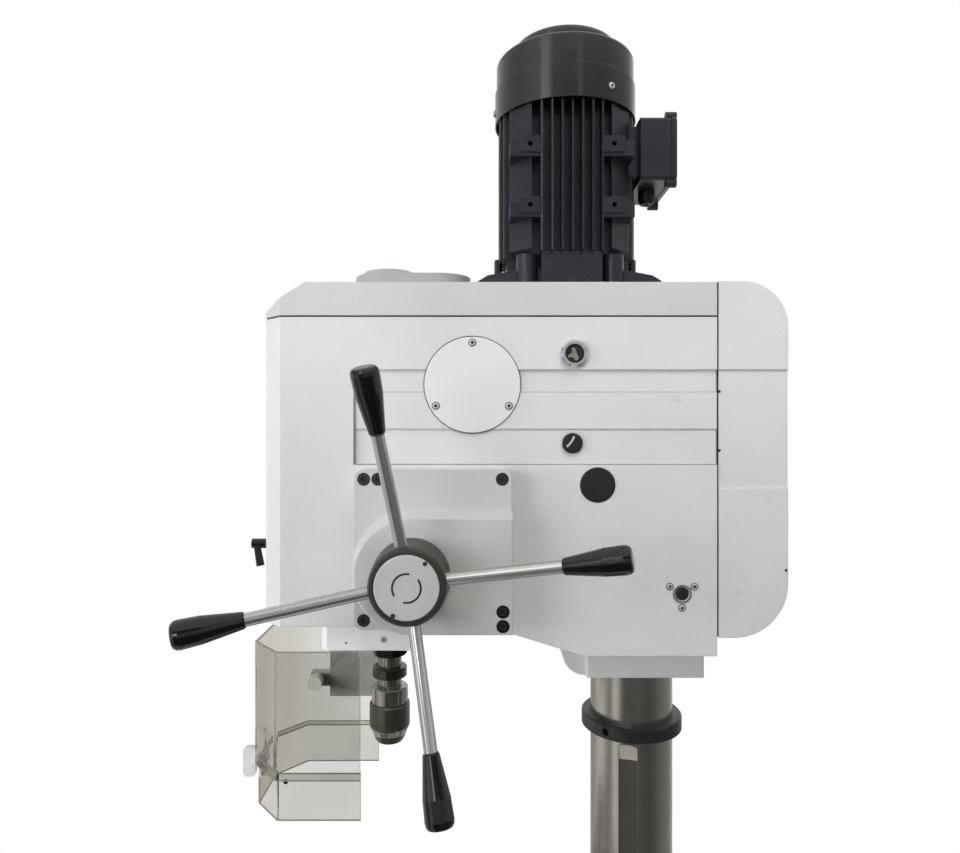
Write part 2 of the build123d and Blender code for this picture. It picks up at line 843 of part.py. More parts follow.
def side_bands():
    cuts = []
    steps = [
        (band_upper_mid_z, band_upper_z, band_deep),
        (band_lower_mid_z, band_upper_mid_z, band_shallow),
        (band_lower_z, band_lower_mid_z, band_deep),
    ]
    for side in (-1, 1):
        for low, high, depth in steps:
            inner = side * (head_half_width - depth)
            outer = side * (head_half_width + 1)
            cuts.append(block(min(inner, outer), max(inner, outer), band_front_y, head_rear_y + 1, low, high))
    return cuts


def through_side(radius, y, z):
    return cylinder_x(radius, head_half_width - head_wall - 1, head_half_width + 1, y, z)


def head_casting():
    below = clamp_low_z - 1
    shell = head_side(0, 0, head_seam_z) & head_plan(0, below, head_seam_z)
    shell -= head_side(head_wall, head_floor, head_seam_z + 1) & head_plan(head_wall, below, head_seam_z + 1)
    for cut in side_bands():
        shell -= cut
    inner_x = head_half_width - head_wall
    clamp = block(-clamp_half_width, clamp_half_width, clamp_front_y, clamp_rear_y, clamp_low_z,
                  head_bottom_rear_z + 1)
    shell += fillet(clamp.edges().filter_by(Axis.Z), clamp_edge_radius)
    gusset = block(-clamp_gusset_half_width, clamp_gusset_half_width, clamp_front_y - clamp_gusset_depth,
                   clamp_front_y + 1, clamp_low_z, head_bottom_rear_z + head_floor / 2)
    foot = gusset.edges().filter_by(Axis.X).group_by(Axis.Z)[0].group_by(Axis.Y)[0]
    shell += fillet(foot, clamp_gusset_radius)
    shell += cylinder_z(socket_radius, head_bottom_rear_z, column_top_z) & head_plan(0, below, head_seam_z)
    shell += cylinder_z(guide_radius, head_bottom_front_z, guide_high_z, 0, spindle_y)
    boss = feed_shaft_radius + head_floor
    shell += cylinder_x(boss, -inner_x - 1, -inner_x + head_floor, feed_y, feed_z)
    shell += block(-inner_x - 1, inner_x + 1, web_front_y, web_rear_y, web_low_z, web_low_z + bearing_height)
    shell -= cylinder_z(column_radius + seat_gap, clamp_low_z - 1, column_top_z + 1)
    shell -= cylinder_z(quill_radius + run_gap, head_bottom_front_z - 1, guide_high_z + 1, 0, spindle_y)
    for y in (counter_y, lay_y):
        shell -= cylinder_z(bearing_radius + seat_gap, web_low_z - 1, web_low_z + bearing_height + 1, 0, y)
    pocket = feed_pinion_half_width + 2
    shell -= cylinder_x(feed_pitch_radius + feed_module + 2, -pocket, pocket, feed_y, feed_z)
    shell -= cylinder_x(feed_shaft_radius + 1, -inner_x + head_floor - 1, head_half_width + 1, feed_y, feed_z)
    shell -= cylinder_x(feed_shaft_radius + run_gap, -head_half_width - 1, 0, feed_y, feed_z)
    shell -= through_side(inspection_radius - inspection_rim, inspection_y, inspection_z)
    shell -= cylinder_x(inspection_radius + inspection_gap, head_half_width - inspection_thickness,
                        head_half_width + 1, inspection_y, inspection_z)
    shell -= through_side(sight_spigot_radius() + seat_gap, sight_y, sight_z)
    for radius, y, z in plug_places():
        shell -= through_side(radius + seat_gap, y, z)
    for y, z in cover_screw_places():
        shell -= through_side(cover_screw_radius + seat_gap, y, z)
    for hole in front_holes(head_front_y, head_front_y + head_wall):
        shell -= hole
    return shell


def sight_spigot_radius():
    return sight_radius - 2


def plug_places():
    return [
        (small_plug_radius, small_plug_y, small_plug_z),
        (large_plug_radius, large_plug_y, large_plug_z),
        (pivot_plug_radius, pivot_plug_y, pivot_plug_z),
    ]


def bore_plugs():
    plugs = []
    for radius, y, z in plug_places():
        plugs.append(turned_x([
            (0, head_half_width - head_wall), (radius, head_half_width - head_wall),
            (radius, head_half_width + plug_proud / 2), (radius - plug_proud, head_half_width + plug_proud),
            (0, head_half_width + plug_proud),
        ], y, z))
    return Compound(children=plugs)


def round_cover():
    return cylinder_x(inspection_radius, head_half_width - inspection_thickness, head_half_width,
                      inspection_y, inspection_z)


def sight_glass_bezel():
    wall = head_half_width - head_wall
    face = head_half_width + 6
    lens = sight_lens_radius + seat_gap
    return turned_x([
        (lens - 2, wall), (sight_spigot_radius(), wall), (sight_spigot_radius(), head_half_width),
        (sight_radius, head_half_width), (sight_radius, face - 2), (sight_radius - 2, face),
        (lens, face), (lens, head_half_width), (lens - 2, head_half_width),
    ], sight_y, sight_z)


def sight_glass_lens():
    return cylinder_x(sight_lens_radius, head_half_width, head_half_width + 3, sight_y, sight_z)


def lid_boss(radius, z_low, z_high, y):
    return cylinder_z(radius, z_low, z_high, 0, y)


def lid_bearing_low_z():
    return head_seam_z + 4


def top_cover():
    front = head_front_y
    under = lid_top_z - lid_wall
    half = head_half_width
    drop = lid_wall / 2
    outer = side_prism([
        (front, head_seam_z), (front, lid_bevel_low_z), (lid_bevel_top_y, lid_top_z),
        (head_rear_y, lid_top_z), (head_rear_y, head_seam_z),
    ], -half, half) & head_plan(0, head_seam_z, lid_top_z)
    inner = side_prism([
        (front + lid_wall, head_seam_z - 1), (front + lid_wall, lid_bevel_low_z - drop),
        (lid_bevel_top_y + drop, under), (head_rear_y - lid_wall, under),
        (head_rear_y - lid_wall, head_seam_z - 1),
    ], -half + lid_wall, half - lid_wall) & head_plan(lid_wall, head_seam_z - 1, lid_top_z)
    seam = head_plan(-1, head_seam_z - 1, head_seam_z + seam_width)
    seam -= head_plan(seam_depth, head_seam_z - 2, head_seam_z + seam_width + 1)
    cover = outer - inner - seam
    low = lid_bearing_low_z()
    seat_high = low + bearing_height
    for y in (counter_y, lay_y):
        cover += lid_boss(bearing_radius + lid_wall, low, under + 1, y)
        cover -= lid_boss(bearing_radius + seat_gap, low - 1, seat_high + 1, y)
    cover += lid_boss(sleeve_bearing_radius + lid_wall, low, under + 1, spindle_y)
    cover -= lid_boss(sleeve_bearing_radius + seat_gap, low - 1, seat_high, spindle_y)
    cover -= lid_boss(sleeve_hub_radius + 2, low - 1, lid_top_z + 1, spindle_y)
    pinion_tip = train_module * (pinion_teeth + 2) / 2
    return cover - lid_boss(pinion_tip + 3, under - 1, lid_top_z + 1, motor_y)


def spindle_cap():
    high = lid_top_z + spindle_cap_height
    half = spindle_cap_half_width
    body = block(-half, half, spindle_cap_front_y, spindle_cap_rear_y, lid_top_z, high)
    body = fillet(body.edges().filter_by(Axis.Z), half - 1)
    body += cylinder_z(half - 4, high - 1, high + spindle_cap_dome, 0, spindle_y)
    body = chamfer(body.faces().sort_by(Axis.Z)[-1].edges(), spindle_cap_dome - 1)
    cavity = max(sleeve_hub_radius, spindle_spline_radius) + 4
    body -= cylinder_z(cavity, lid_top_z - 1, spindle_top_z + spindle_cap_dome, 0, spindle_y)
    dimple = (spindle_cap_rear_y - half, high)
    return body - Pos(0, dimple[0], dimple[1]) * Cylinder(half / 4, 5)


def rear_cabinet():
    half = head_half_width
    top = cabinet_high_z

    def rounded_case(inset, front):
        case = block(-half + inset, half - inset, front, cabinet_rear_y - inset,
                     cabinet_low_z + inset, top - inset)
        rear_edges = case.edges().filter_by(Axis.X).group_by(Axis.Y)[-1].sort_by(Axis.Z)
        case = fillet(rear_edges[0], cabinet_bottom_radius - inset)
        rear_edges = case.edges().filter_by(Axis.X).sort_by(Axis.Z)[-2:]
        return fillet(rear_edges.sort_by(Axis.Y)[-1], cabinet_top_radius - inset)

    case = rounded_case(0, head_rear_y)
    lip = half - seam_depth
    seam = block(-half - 1, half + 1, head_rear_y - 1, head_rear_y + seam_width, cabinet_low_z - 1, top + 1)
    case -= seam - block(-lip, lip, head_rear_y - 2, head_rear_y + seam_width + 1,
                         cabinet_low_z + seam_depth, top - seam_depth)
    for side in (-1, 1):
        inner = side * (half - cabinet_band_depth)
        outer = side * (half + 1)
        case -= block(min(inner, outer), max(inner, outer), head_rear_y - 1, cabinet_rear_y + 1,
                      cabinet_band_low_z, band_upper_z)
    return case - rounded_case(cabinet_wall + cabinet_band_depth, head_rear_y - 1)


def nose_block():
    body = block(-nose_half_width, nose_half_width, nose_front_y, nose_rear_y, nose_low_z, head_bottom_front_z)
    body = chamfer(body.edges().filter_by(Axis.Z), 8)
    return body - cylinder_z(quill_radius + run_gap, nose_low_z - 1, head_bottom_front_z + 1, 0, spindle_y)


# Feed cover with its raised boss
def cover_screw_places():
    front = cover_front_y + cover_screw_inset
    rear = cover_rear_y - cover_screw_inset
    low = cover_low_z + cover_screw_inset
    high = cover_high_z - cover_screw_inset
    near = cover_screw_head_radius * 2.5
    return [(front, high), (front + near, high), (rear, high), (front, low), (rear, low), (rear, low + near)]


def feed_cover():
    inner_x = head_half_width
    plate = block(inner_x, cover_face_x, cover_front_y, cover_rear_y, cover_low_z, cover_high_z)
    plate = fillet(plate.edges().filter_by(Axis.X), cover_corner_radius)
    foot = boss_radius + boss_draft
    boss = turned_x([(0, cover_face_x - 1), (foot, cover_face_x - 1), (boss_radius, boss_face_x), (0, boss_face_x)],
                    feed_y, feed_z)
    run = make_face(Polyline(
        (cover_face_x - 1, feed_y, feed_z - foot), (boss_face_x, feed_y, feed_z - boss_radius),
        (boss_face_x, feed_y, feed_z + boss_radius), (cover_face_x - 1, feed_y, feed_z + foot), close=True))
    boss += extrude(run, amount=cover_rear_y - feed_y, dir=(0, 1, 0))
    boss = boss & block(inner_x, boss_face_x, cover_front_y, cover_rear_y, cover_low_z, cover_high_z)
    boss = fillet(boss.faces().sort_by(Axis.X)[-1].edges(), boss_edge)
    cover = plate + boss
    for y, z in cover_screw_places():
        cover -= cylinder_x(cover_screw_radius + seat_gap, inner_x - 1, boss_face_x + 1, y, z)
        cover -= cylinder_x(cover_screw_head_radius + 1, cover_face_x - cover_screw_head_height, boss_face_x + 1,
                            y, z)
    return cover - cylinder_x(feed_shaft_radius + run_gap, inner_x - 1, boss_face_x + 1, feed_y, feed_z)


def feed_cover_screws():
    screws = []
    seat = cover_face_x - cover_screw_head_height
    for y, z in cover_screw_places():
        screw = cylinder_x(cover_screw_radius, head_half_width - head_wall, seat + 1, y, z)
        head = cylinder_x(cover_screw_head_radius, seat, cover_face_x - 0.5, y, z)
        socket = Pos(cover_face_x, y, z) * Rot(0, 90, 0) * extrude(
            RegularPolygon(cover_screw_radius * 0.75, 6, major_radius=False), amount=4, both=True)
        screws.append(screw + head - socket)
    return Compound(children=screws)


# Front panel and controls
def button_places():
    return [(button_spacing / 2, button_z), (-button_spacing / 2, button_z)]


def front_holes(y_low, y_high):
    holes = []
    for x, z in button_places():
        holes.append(cylinder_y(button_stem_radius + slide_gap, y_low - 1, y_high + 1, x, z))
    holes.append(cylinder_y(selector_shaft_radius + run_gap, y_low - 1, y_high + 1, selector_x, selector_z))
    holes.append(cylinder_y(lock_lever_hub_radius - 2 + run_gap, y_low - 1, y_high + 1, lock_lever_x, lock_lever_z))
    return holes


def panel_face_y():
    return head_front_y - panel_thickness


def front_panel():
    face = panel_face_y()
    plate = block(-panel_half_width, panel_half_width, face, head_front_y, panel_low_z, panel_high_z)
    plate = fillet(plate.edges().filter_by(Axis.Y), panel_corner_radius)
    for x, z in button_places():
        bezel = cylinder_y(button_bezel_radius, face - button_travel * 2, face + 1, x, z)
        plate += bezel - cylinder_y(button_radius + slide_gap, face - button_travel * 3, face, x, z)
    for hole in front_holes(face, head_front_y):
        plate -= hole
    return plate


def push_button(x):
    back = panel_face_y() - button_travel - slide_gap
    cap = cylinder_y(button_radius, back - button_proud, back, x, button_z)
    cap = chamfer(cap.faces().sort_by(Axis.Y)[0].edges(), 1)
    return cap + cylinder_y(button_stem_radius, back - 1, head_front_y + head_wall + 5, x, button_z)


def gear_selector():
    back = panel_face_y() - slide_gap
    front = back - selector_height
    knob = cylinder_y(selector_radius, front, back, selector_x, selector_z)
    knob = chamfer(knob.faces().sort_by(Axis.Y)[0].edges(), 3)
    flutes = 12
    for turn in range(flutes):
        angle = 2 * math.pi * turn / flutes
        x = selector_x + (selector_radius + 2) * math.cos(angle)
        z = selector_z + (selector_radius + 2) * math.sin(angle)
        knob -= cylinder_y(4.5, front - 1, back + 1, x, z)
    knob += block(selector_x - 4, selector_x + 4, front - 6, front + 1, selector_z - selector_radius + 8,
                  selector_z + selector_radius - 8)
    return knob + cylinder_y(selector_shaft_radius, back - 1, head_front_y + head_wall + 4, selector_x, selector_z)


def quill_lock_lever():
    base = head_front_y - slide_gap
    front = head_front_y - lock_lever_proud
    hub = cylinder_y(lock_lever_hub_radius, front, base, lock_lever_x, lock_lever_z)
    stud = cylinder_y(lock_lever_hub_radius - 2, front, head_front_y + head_wall, lock_lever_x, lock_lever_z)
    arm_y = front + 5
    arm = Pos(lock_lever_x, arm_y, lock_lever_z) * Rot(10, 0, 0) * Pos(0, 0, -lock_lever_length) * Cone(
        5, 4, lock_lever_length, align=(Align.CENTER, Align.CENTER, Align.MIN))
    return hub + stud + arm


# Feed capstan: shaft with its rack pinion, hub, levers and grips
def feed_shaft():
    left = -head_half_width - spring_housing_length + 8
    half = feed_pinion_half_width
    shaft = cylinder_x(feed_shaft_radius, left, hub_front_x - 12, feed_y, feed_z)
    pinion = gear(feed_module, feed_teeth, -half, half, feed_shaft_radius - 1, 270)
    return shaft + Pos(0, feed_y, feed_z) * Rot(0, 90, 0) * pinion


def lever_planes():
    tilt = math.radians(rod_tilt)
    planes = []
    for lever in range(rod_count):
        angle = math.radians(rod_first_angle + 360 * lever / rod_count)
        along = Vector(math.sin(tilt), math.cos(tilt) * math.cos(angle), math.cos(tilt) * math.sin(angle))
        planes.append(Plane(origin=(rod_root_x, feed_y, feed_z), z_dir=along))
    return planes


def feed_hub():
    bore = feed_shaft_radius + seat_gap
    recess = hub_front_x - cap_recess
    hub = turned_x([
        (bore, hub_back_x), (hub_back_radius, hub_back_x), (hub_back_radius, hub_back_x + 10),
        (hub_front_radius + 1, hub_front_x - 3), (hub_front_radius - 1, hub_front_x),
        (cap_radius + seat_gap, hub_front_x), (cap_radius + seat_gap, recess), (0, recess),
        (0, hub_front_x - 12), (bore, hub_front_x - 12),
    ], feed_y, feed_z)
    for plane in lever_planes():
        hub -= plane * cylinder_z(rod_radius + seat_gap, rod_root_reach, 2 * hub_back_radius)
    return hub


def hub_cap():
    low = hub_front_x - cap_recess
    high = low + cap_thickness
    return turned_x([(0, low), (cap_radius, low), (cap_radius, high - 1), (cap_radius - 1, high), (0, high)],
                    feed_y, feed_z)


def feed_rods():
    end = lever_reach - grip_length + grip_socket
    return Compound(children=[plane * cylinder_z(rod_radius, rod_root_reach, end) for plane in lever_planes()])


def feed_grips():
    low = lever_reach - grip_length
    grip = turned([
        (0, low), (grip_neck_radius - 1, low), (grip_neck_radius, low + 2),
        (grip_end_radius - 0.7, low + grip_taper_share * grip_length), (grip_end_radius, lever_reach - 8),
        (grip_end_radius - 0.5, lever_reach - 4), (grip_end_radius - 2.5, lever_reach - 1),
        (grip_end_radius - 5, lever_reach), (0, lever_reach),
    ])
    grip -= cylinder_z(rod_radius + seat_gap, low - 1, low + grip_socket)
    return Compound(children=[plane * grip for plane in lever_planes()])


def spring_housing():
    low = -head_half_width - spring_housing_length
    wall = 5.0
    radius = spring_housing_radius
    return turned_x([
        (0, low), (radius - wall, low), (radius, low + wall), (radius, -head_half_width),
        (radius - wall, -head_half_width), (radius - wall, low + wall), (0, low + wall),
    ], feed_y, feed_z)


# Quill, spindle and chuck
def quill():
    pitch = math.pi * feed_module
    tip_reach = feed_pitch_radius + feed_module
    above = math.ceil((quill_travel + tip_reach) / pitch)
    teeth = rack_outline(feed_module, feed_rack_addendum, feed_z - 2 * pitch, above + 3)
    outline = [(spindle_y + feed_rack_offset + depth, z) for depth, z in teeth]
    outside = spindle_y + quill_radius + 1
    cutter = side_prism([(outside, outline[0][1])] + outline + [(outside, outline[-1][1])],
                        -quill_radius, quill_radius)
    tube = cylinder_z(quill_radius, quill_low_z, quill_high_z, 0, spindle_y)
    tube -= cylinder_z(quill_bore, quill_low_z - 1, quill_high_z + 1, 0, spindle_y)
    for low, high in quill_bearing_spans():
        tube -= cylinder_z(quill_bearing_radius + seat_gap, low, high, 0, spindle_y)
    return tube - cutter


def quill_bearing_spans():
    return [
        (quill_low_z, quill_low_z + quill_bearing_height),
        (quill_high_z - quill_bearing_height, quill_high_z),
    ]


def ring_z(outer, inner, low, high, y):
    return cylinder_z(outer, low, high, 0, y) - cylinder_z(inner, low - 1, high + 1, 0, y)


def quill_bearings():
    inner = spindle_radius + run_gap
    return Compound(children=[
        ring_z(quill_bearing_radius, inner, low, high, spindle_y) for low, high in quill_bearing_spans()
    ])


def spindle():
    shoulder = quill_high_z + spindle_shoulder
    shaft = turned([
        (0, spindle_top_z), (spindle_spline_radius - 2, spindle_top_z), (spindle_spline_radius, spindle_top_z - 2),
        (spindle_spline_radius, shoulder), (spindle_radius, shoulder), (spindle_radius, nut_low_z),
        (neck_radius, nut_low_z), (neck_radius, ring_high_z), (ring_radius - 1, ring_high_z),
        (ring_radius, ring_high_z - 1), (ring_radius, ring_low_z + 1), (ring_radius - 1, ring_low_z),
        (neck_radius, ring_low_z), (neck_radius, chuck_top_z), (0, chuck_top_z),
    ], 0, spindle_y)
    flats = extrude(RegularPolygon(nut_radius, 6, rotation=nut_turn), amount=nut_height)
    rounding = turned([
        (0, nut_low_z), (nut_radius - nut_chamfer, nut_low_z), (nut_radius, nut_low_z + nut_chamfer),
        (nut_radius, nut_high_z), (0, nut_high_z),
    ], 0, spindle_y)
    return shaft + (Pos(0, spindle_y, nut_low_z) * flats & rounding)


def chuck_body():
    body = turned([
        (0, chuck_top_z), (chuck_body_radius - 1.5, chuck_top_z), (chuck_body_radius, chuck_top_z - 1.5),
        (chuck_body_radius, chuck_band_z), (chuck_core_radius, chuck_band_z),
        (chuck_core_radius, chuck_sleeve_low_z), (chuck_sleeve_radius - 1.5, chuck_sleeve_low_z),
        (chuck_nose_radius + 6, chuck_nose_band_z), (chuck_nose_radius + 3, chuck_nose_z + 4),
        (chuck_nose_radius, chuck_nose_z), (0, chuck_nose_z),
    ], 0, spindle_y)
    bore_high = chuck_nose_z + jaw_length + jaw_gap
    return body - cylinder_z(jaw_outer_radius + jaw_gap, chuck_nose_z - 1, bore_high, 0, spindle_y)


def chuck_sleeve():
    low = chuck_sleeve_low_z + jaw_gap
    high = chuck_band_z - jaw_gap
    bore = chuck_core_radius + run_gap
    return turned([
        (bore, low), (chuck_sleeve_radius - 1, low), (chuck_sleeve_radius, low + 3),
        (chuck_sleeve_radius, high - 3), (chuck_sleeve_radius - 1, high), (bore, high),
    ], 0, spindle_y)


def chuck_jaw(number):
    half = math.radians(jaw_angle / 2)

    def point(radius, angle):
        return (radius * math.cos(angle), radius * math.sin(angle))

    outline = [
        ThreePointArc(point(jaw_grip_radius, -half), point(jaw_grip_radius, 0), point(jaw_grip_radius, half)),
        Line(point(jaw_grip_radius, half), point(jaw_outer_radius, half)),
        ThreePointArc(point(jaw_outer_radius, half), point(jaw_outer_radius, 0), point(jaw_outer_radius, -half)),
        Line(point(jaw_outer_radius, -half), point(jaw_grip_radius, -half)),
    ]
    jaw = extrude(make_face(outline), amount=jaw_length)
    return Pos(0, spindle_y, chuck_nose_z) * Rot(0, 0, 90 + 360 * number / chuck_jaw_count) * jaw


# Gear train
def meeting_tooth(teeth):
    return 270 - 180 / teeth


def train_gear(teeth, z_low, y, gap_angle):
    bore = train_shaft_radius + seat_gap
    return Pos(0, y, 0) * gear(train_module, teeth, z_low, z_low + gear_width, bore, gap_angle)


def train_shaft(y):
    return cylinder_z(train_shaft_radius, web_low_z, lid_bearing_low_z() + bearing_height, 0, y)


def countershaft_gears():
    return Compound(children=[
        train_gear(counter_wheel_teeth, first_pair_z, counter_y, 90),
        train_gear(counter_pinion_teeth, second_pair_z, counter_y, meeting_tooth(counter_pinion_teeth)),
    ])


def layshaft_gears():
    return Compound(children=[
        train_gear(lay_wheel_teeth, second_pair_z, lay_y, 90),
        train_gear(lay_pinion_teeth, third_pair_z, lay_y, meeting_tooth(lay_pinion_teeth)),
    ])


def spindle_gear():
    bore = spindle_spline_radius + run_gap
    wheel = gear(train_module, sleeve_wheel_teeth, third_pair_z, third_pair_z + gear_width, bore, 90)
    hub = cylinder_z(sleeve_hub_radius, third_pair_z, lid_top_z + 2)
    hub -= cylinder_z(bore, third_pair_z - 1, lid_top_z + 3)
    return Pos(0, spindle_y, 0) * (wheel + hub)


def motor_bearing_lows():
    return (frame_low_z - bearing_height - 10, frame_high_z - bearing_height)


def shaft_bearings():
    inner = train_shaft_radius + run_gap
    lid_low = lid_bearing_low_z()
    places = [(y, low) for y in (counter_y, lay_y) for low in (web_low_z, lid_low)]
    places += [(motor_y, low) for low in motor_bearing_lows()]
    rings = [ring_z(bearing_radius, inner, low, low + bearing_height, y) for y, low in places]
    sleeve_inner = sleeve_hub_radius + run_gap
    rings.append(ring_z(sleeve_bearing_radius, sleeve_inner, lid_low, lid_low + bearing_height, spindle_y))
    return Compound(children=rings)


# Motor
def motor_rotor():
    shaft = cylinder_z(train_shaft_radius, first_pair_z - 6, motor_shaft_top_z)
    pinion = gear(train_module, pinion_teeth, first_pair_z, first_pair_z + gear_width, train_shaft_radius - 1,
                  meeting_tooth(pinion_teeth))
    core = cylinder_z(rotor_radius, frame_low_z + 18, frame_high_z - bearing_height - 18)
    return Pos(0, motor_y, 0) * (shaft + pinion + core)


def motor_fan():
    disc_top = fan_low_z + 3
    fan = cylinder_z(train_shaft_radius + 8, fan_low_z, fan_low_z + fan_height)
    fan += cylinder_z(fan_radius, fan_low_z, disc_top)
    for blade in range(fan_blades):
        fan += Rot(0, 0, 360 * blade / fan_blades) * block(
            train_shaft_radius + 4, fan_radius - 2, -1.5, 1.5, disc_top - 1, fan_low_z + fan_height)
    fan -= cylinder_z(train_shaft_radius + seat_gap, fan_low_z - 1, motor_shaft_top_z + 9)
    return Pos(0, motor_y, 0) * fan


# The flange is a saddle with sloping wings; on it stand a square-sided end shield and its four corner lobes
def motor_flange():
    low = lid_top_z
    high = low + motor_flange_top
    half = motor_flange_half_depth
    wing = [
        (motor_flange_reach, low), (motor_flange_reach, low + motor_flange_edge),
        (motor_flange_reach - motor_flange_slope, low + motor_flange_rise), (shield_lobe_place, high),
    ]
    outline = [(-half, -y, z) for y, z in wing] + [(-half, y, z) for y, z in reversed(wing)]
    body = extrude(make_face(Polyline(*outline, close=True)), amount=2 * half, dir=(1, 0, 0))
    body = body & cylinder_z(motor_flange_radius, low, high)
    body += cylinder_z(shield_core_radius, low, frame_low_z)
    for turn in range(4):
        side = block(0, shield_reach, -shield_half_width, shield_half_width, low, frame_low_z)
        side += cylinder_z(shield_lobe_radius, low, frame_low_z, shield_lobe_place, shield_lobe_place)
        body += Rot(0, 0, 90 * turn) * side
    seat_low = motor_bearing_lows()[0]
    seat_high = seat_low + bearing_height
    clear = train_module * (pinion_teeth + 2) / 2 + 3
    body -= cylinder_z(clear, low - 1, seat_low + 1)
    body -= cylinder_z(bearing_radius + seat_gap, seat_low, seat_high)
    body -= cylinder_z(clear + 6, seat_high, frame_low_z + 1)
    return Pos(0, motor_y, 0) * body


# The frame is eight-sided: a bay of fins on each square side, flat pads on the corners, lugs right and left
def motor_lug_heights():
    return (frame_lug_low_z, frame_lug_low_z + frame_lug_pitch)


def frame_side(body, turn):
    low = frame_low_z
    high = cowl_low_z
    bay = frame_bay_half_width
    reach = frame_side_reach
    half = frame_fin_thickness / 2
    side = Rot(0, 0, 90 * turn)
    body -= side * block(frame_core_radius, reach + 1, -bay, bay, low - 1, high + 1)
    for fin in range(frame_fin_count):
        middle = frame_fin_pitch * (fin - (frame_fin_count - 1) / 2)
        body += side * block(frame_core_radius / 2, frame_fin_radius, middle - half, middle + half, low, high)
    for hand in (-1, 1):
        near, far = sorted((hand * bay, hand * (bay + frame_channel_width)))
        body -= side * block(reach - frame_channel_depth, reach + 1, near, far, low - 1, high + 1)
    return body


def frame_lugs(body, turn):
    bay = frame_bay_half_width
    half = frame_lug_half_height
    face = frame_lug_face
    side = Rot(0, 0, 90 * turn)
    for hand in (-1, 1):
        near, far = sorted((hand * (bay - 1), hand * frame_lug_reach))
        ear_near, ear_far = sorted((hand * bay, hand * frame_lug_ear_reach))
        for z in motor_lug_heights():
            ear_z = z - frame_lug_ear_drop
            root = frame_core_radius / 2
            hole_y = hand * (bay + frame_lug_reach) / 2
            lug = block(root, face, near, far, z - half, z + half)
            lug += block(root, face - frame_lug_ear_step, ear_near, ear_far, ear_z - half, ear_z + half)
            lug -= cylinder_x(frame_lug_hole_radius, frame_core_radius, face + 1, hole_y, z)
            body += side * lug
    return body


def motor_frame():
    reach = frame_side_reach
    pads = frame_pad_reach
    body = block(-reach, reach, -reach, reach, frame_low_z, cowl_low_z)
    body = body & Rot(0, 0, 45) * block(-pads, pads, -pads, pads, frame_low_z, cowl_low_z)
    body = chamfer(body.faces().sort_by(Axis.Z)[0].edges(), frame_foot_chamfer)
    for turn in range(4):
        body = frame_side(body, turn)
    body = body & cylinder_z(cowl_radius - cowl_wall - seat_gap, frame_low_z, cowl_low_z)
    for turn in (0, 2):
        body = frame_lugs(body, turn)
    body += cylinder_z(frame_core_radius, frame_low_z, frame_high_z)
    body += cylinder_z(cowl_radius - cowl_wall - seat_gap, cowl_low_z + 7, frame_high_z)
    body += block(-terminal_half_width + 14, terminal_half_width - 14, frame_core_radius / 2,
                  terminal_front_y - motor_y, terminal_low_z + 8, terminal_high_z - 8)
    body -= cylinder_z(rotor_radius + air_gap, frame_low_z - 1, frame_high_z - bearing_height)
    body -= cylinder_z(bearing_radius + seat_gap, frame_low_z, frame_high_z + 1)
    return Pos(0, motor_y, 0) * body


def fan_cowl():
    def cowl_form(inset):
        low = cowl_low_z - (1 if inset else 0)
        drum = cylinder_z(cowl_radius - cowl_band_step - inset, low, cowl_shoulder_z - inset)
        drum = fillet(drum.faces().sort_by(Axis.Z)[-1].edges(), cowl_shoulder_radius - inset)
        drum += cylinder_z(cowl_radius - inset, low, cowl_band_z - inset)
        disc = cylinder_z(cowl_disc_radius - inset, cowl_shoulder_z - inset - 1, cowl_top_z - inset)
        disc = fillet(disc.faces().sort_by(Axis.Z)[-1].edges(), 8 - inset)
        return drum + disc

    cowl = cowl_form(0) - cowl_form(cowl_wall)
    step = (cowl_disc_radius - 20) / cowl_slot_rings
    for ring in range(cowl_slot_rings):
        inner = 12 + ring * step
        slot = cylinder_z(inner + cowl_slot_width, cowl_top_z - 10, cowl_top_z + 1)
        slot -= cylinder_z(inner, cowl_top_z - 11, cowl_top_z + 2)
        slot -= block(-cowl_disc_radius, cowl_disc_radius, -3, 3, cowl_top_z - 11, cowl_top_z + 2)
        slot -= block(-3, 3, -cowl_disc_radius, cowl_disc_radius, cowl_top_z - 11, cowl_top_z + 2)
        cowl -= slot
    return Pos(0, motor_y, 0) * cowl


def terminal_ears(low_y, high_y):
    across = terminal_half_width - terminal_ear_inset
    return [
        cylinder_y(terminal_ear_radius, low_y, high_y, x, z) for x in (-across, across)
        for z in (terminal_low_z - terminal_ear_out, terminal_high_z + terminal_ear_out)
    ]


def terminal_box():
    half = terminal_half_width
    outer = block(-half, half, terminal_front_y, terminal_seam_y, terminal_low_z, terminal_high_z)
    outer = fillet(outer.edges().filter_by(Axis.Y), 5)
    for ear in terminal_ears(terminal_seam_y - terminal_ear_depth, terminal_seam_y):
        outer += ear
    wall = terminal_wall
    inner = block(-half + wall, half - wall, terminal_front_y + wall, terminal_seam_y + 1,
                  terminal_low_z + wall, terminal_high_z - wall)
    return outer - inner - cylinder_z(gland_radius * 0.7 + seat_gap, terminal_low_z - 1, terminal_low_z + wall + 1,
                                      0, gland_y)


def terminal_lid():
    half = terminal_half_width + 1
    lid = block(-half, half, terminal_seam_y, terminal_rear_y, terminal_low_z - 1, terminal_high_z + 1)
    lid = fillet(lid.edges().filter_by(Axis.Y), 6)
    lid = chamfer(lid.faces().sort_by(Axis.Y)[-1].edges(), 2)
    for ear in terminal_ears(terminal_seam_y, terminal_rear_y):
        lid += ear
    return lid


def cable_gland():
    neck = gland_radius * 0.7
    high = terminal_low_z + terminal_wall
    bore = gland_radius / 3
    return turned([
        (bore, gland_low_z), (gland_radius - 3, gland_low_z), (gland_radius, gland_low_z + 4),
        (gland_radius, terminal_low_z), (neck, terminal_low_z), (neck, high), (bore, high),
    ], 0, gland_y)


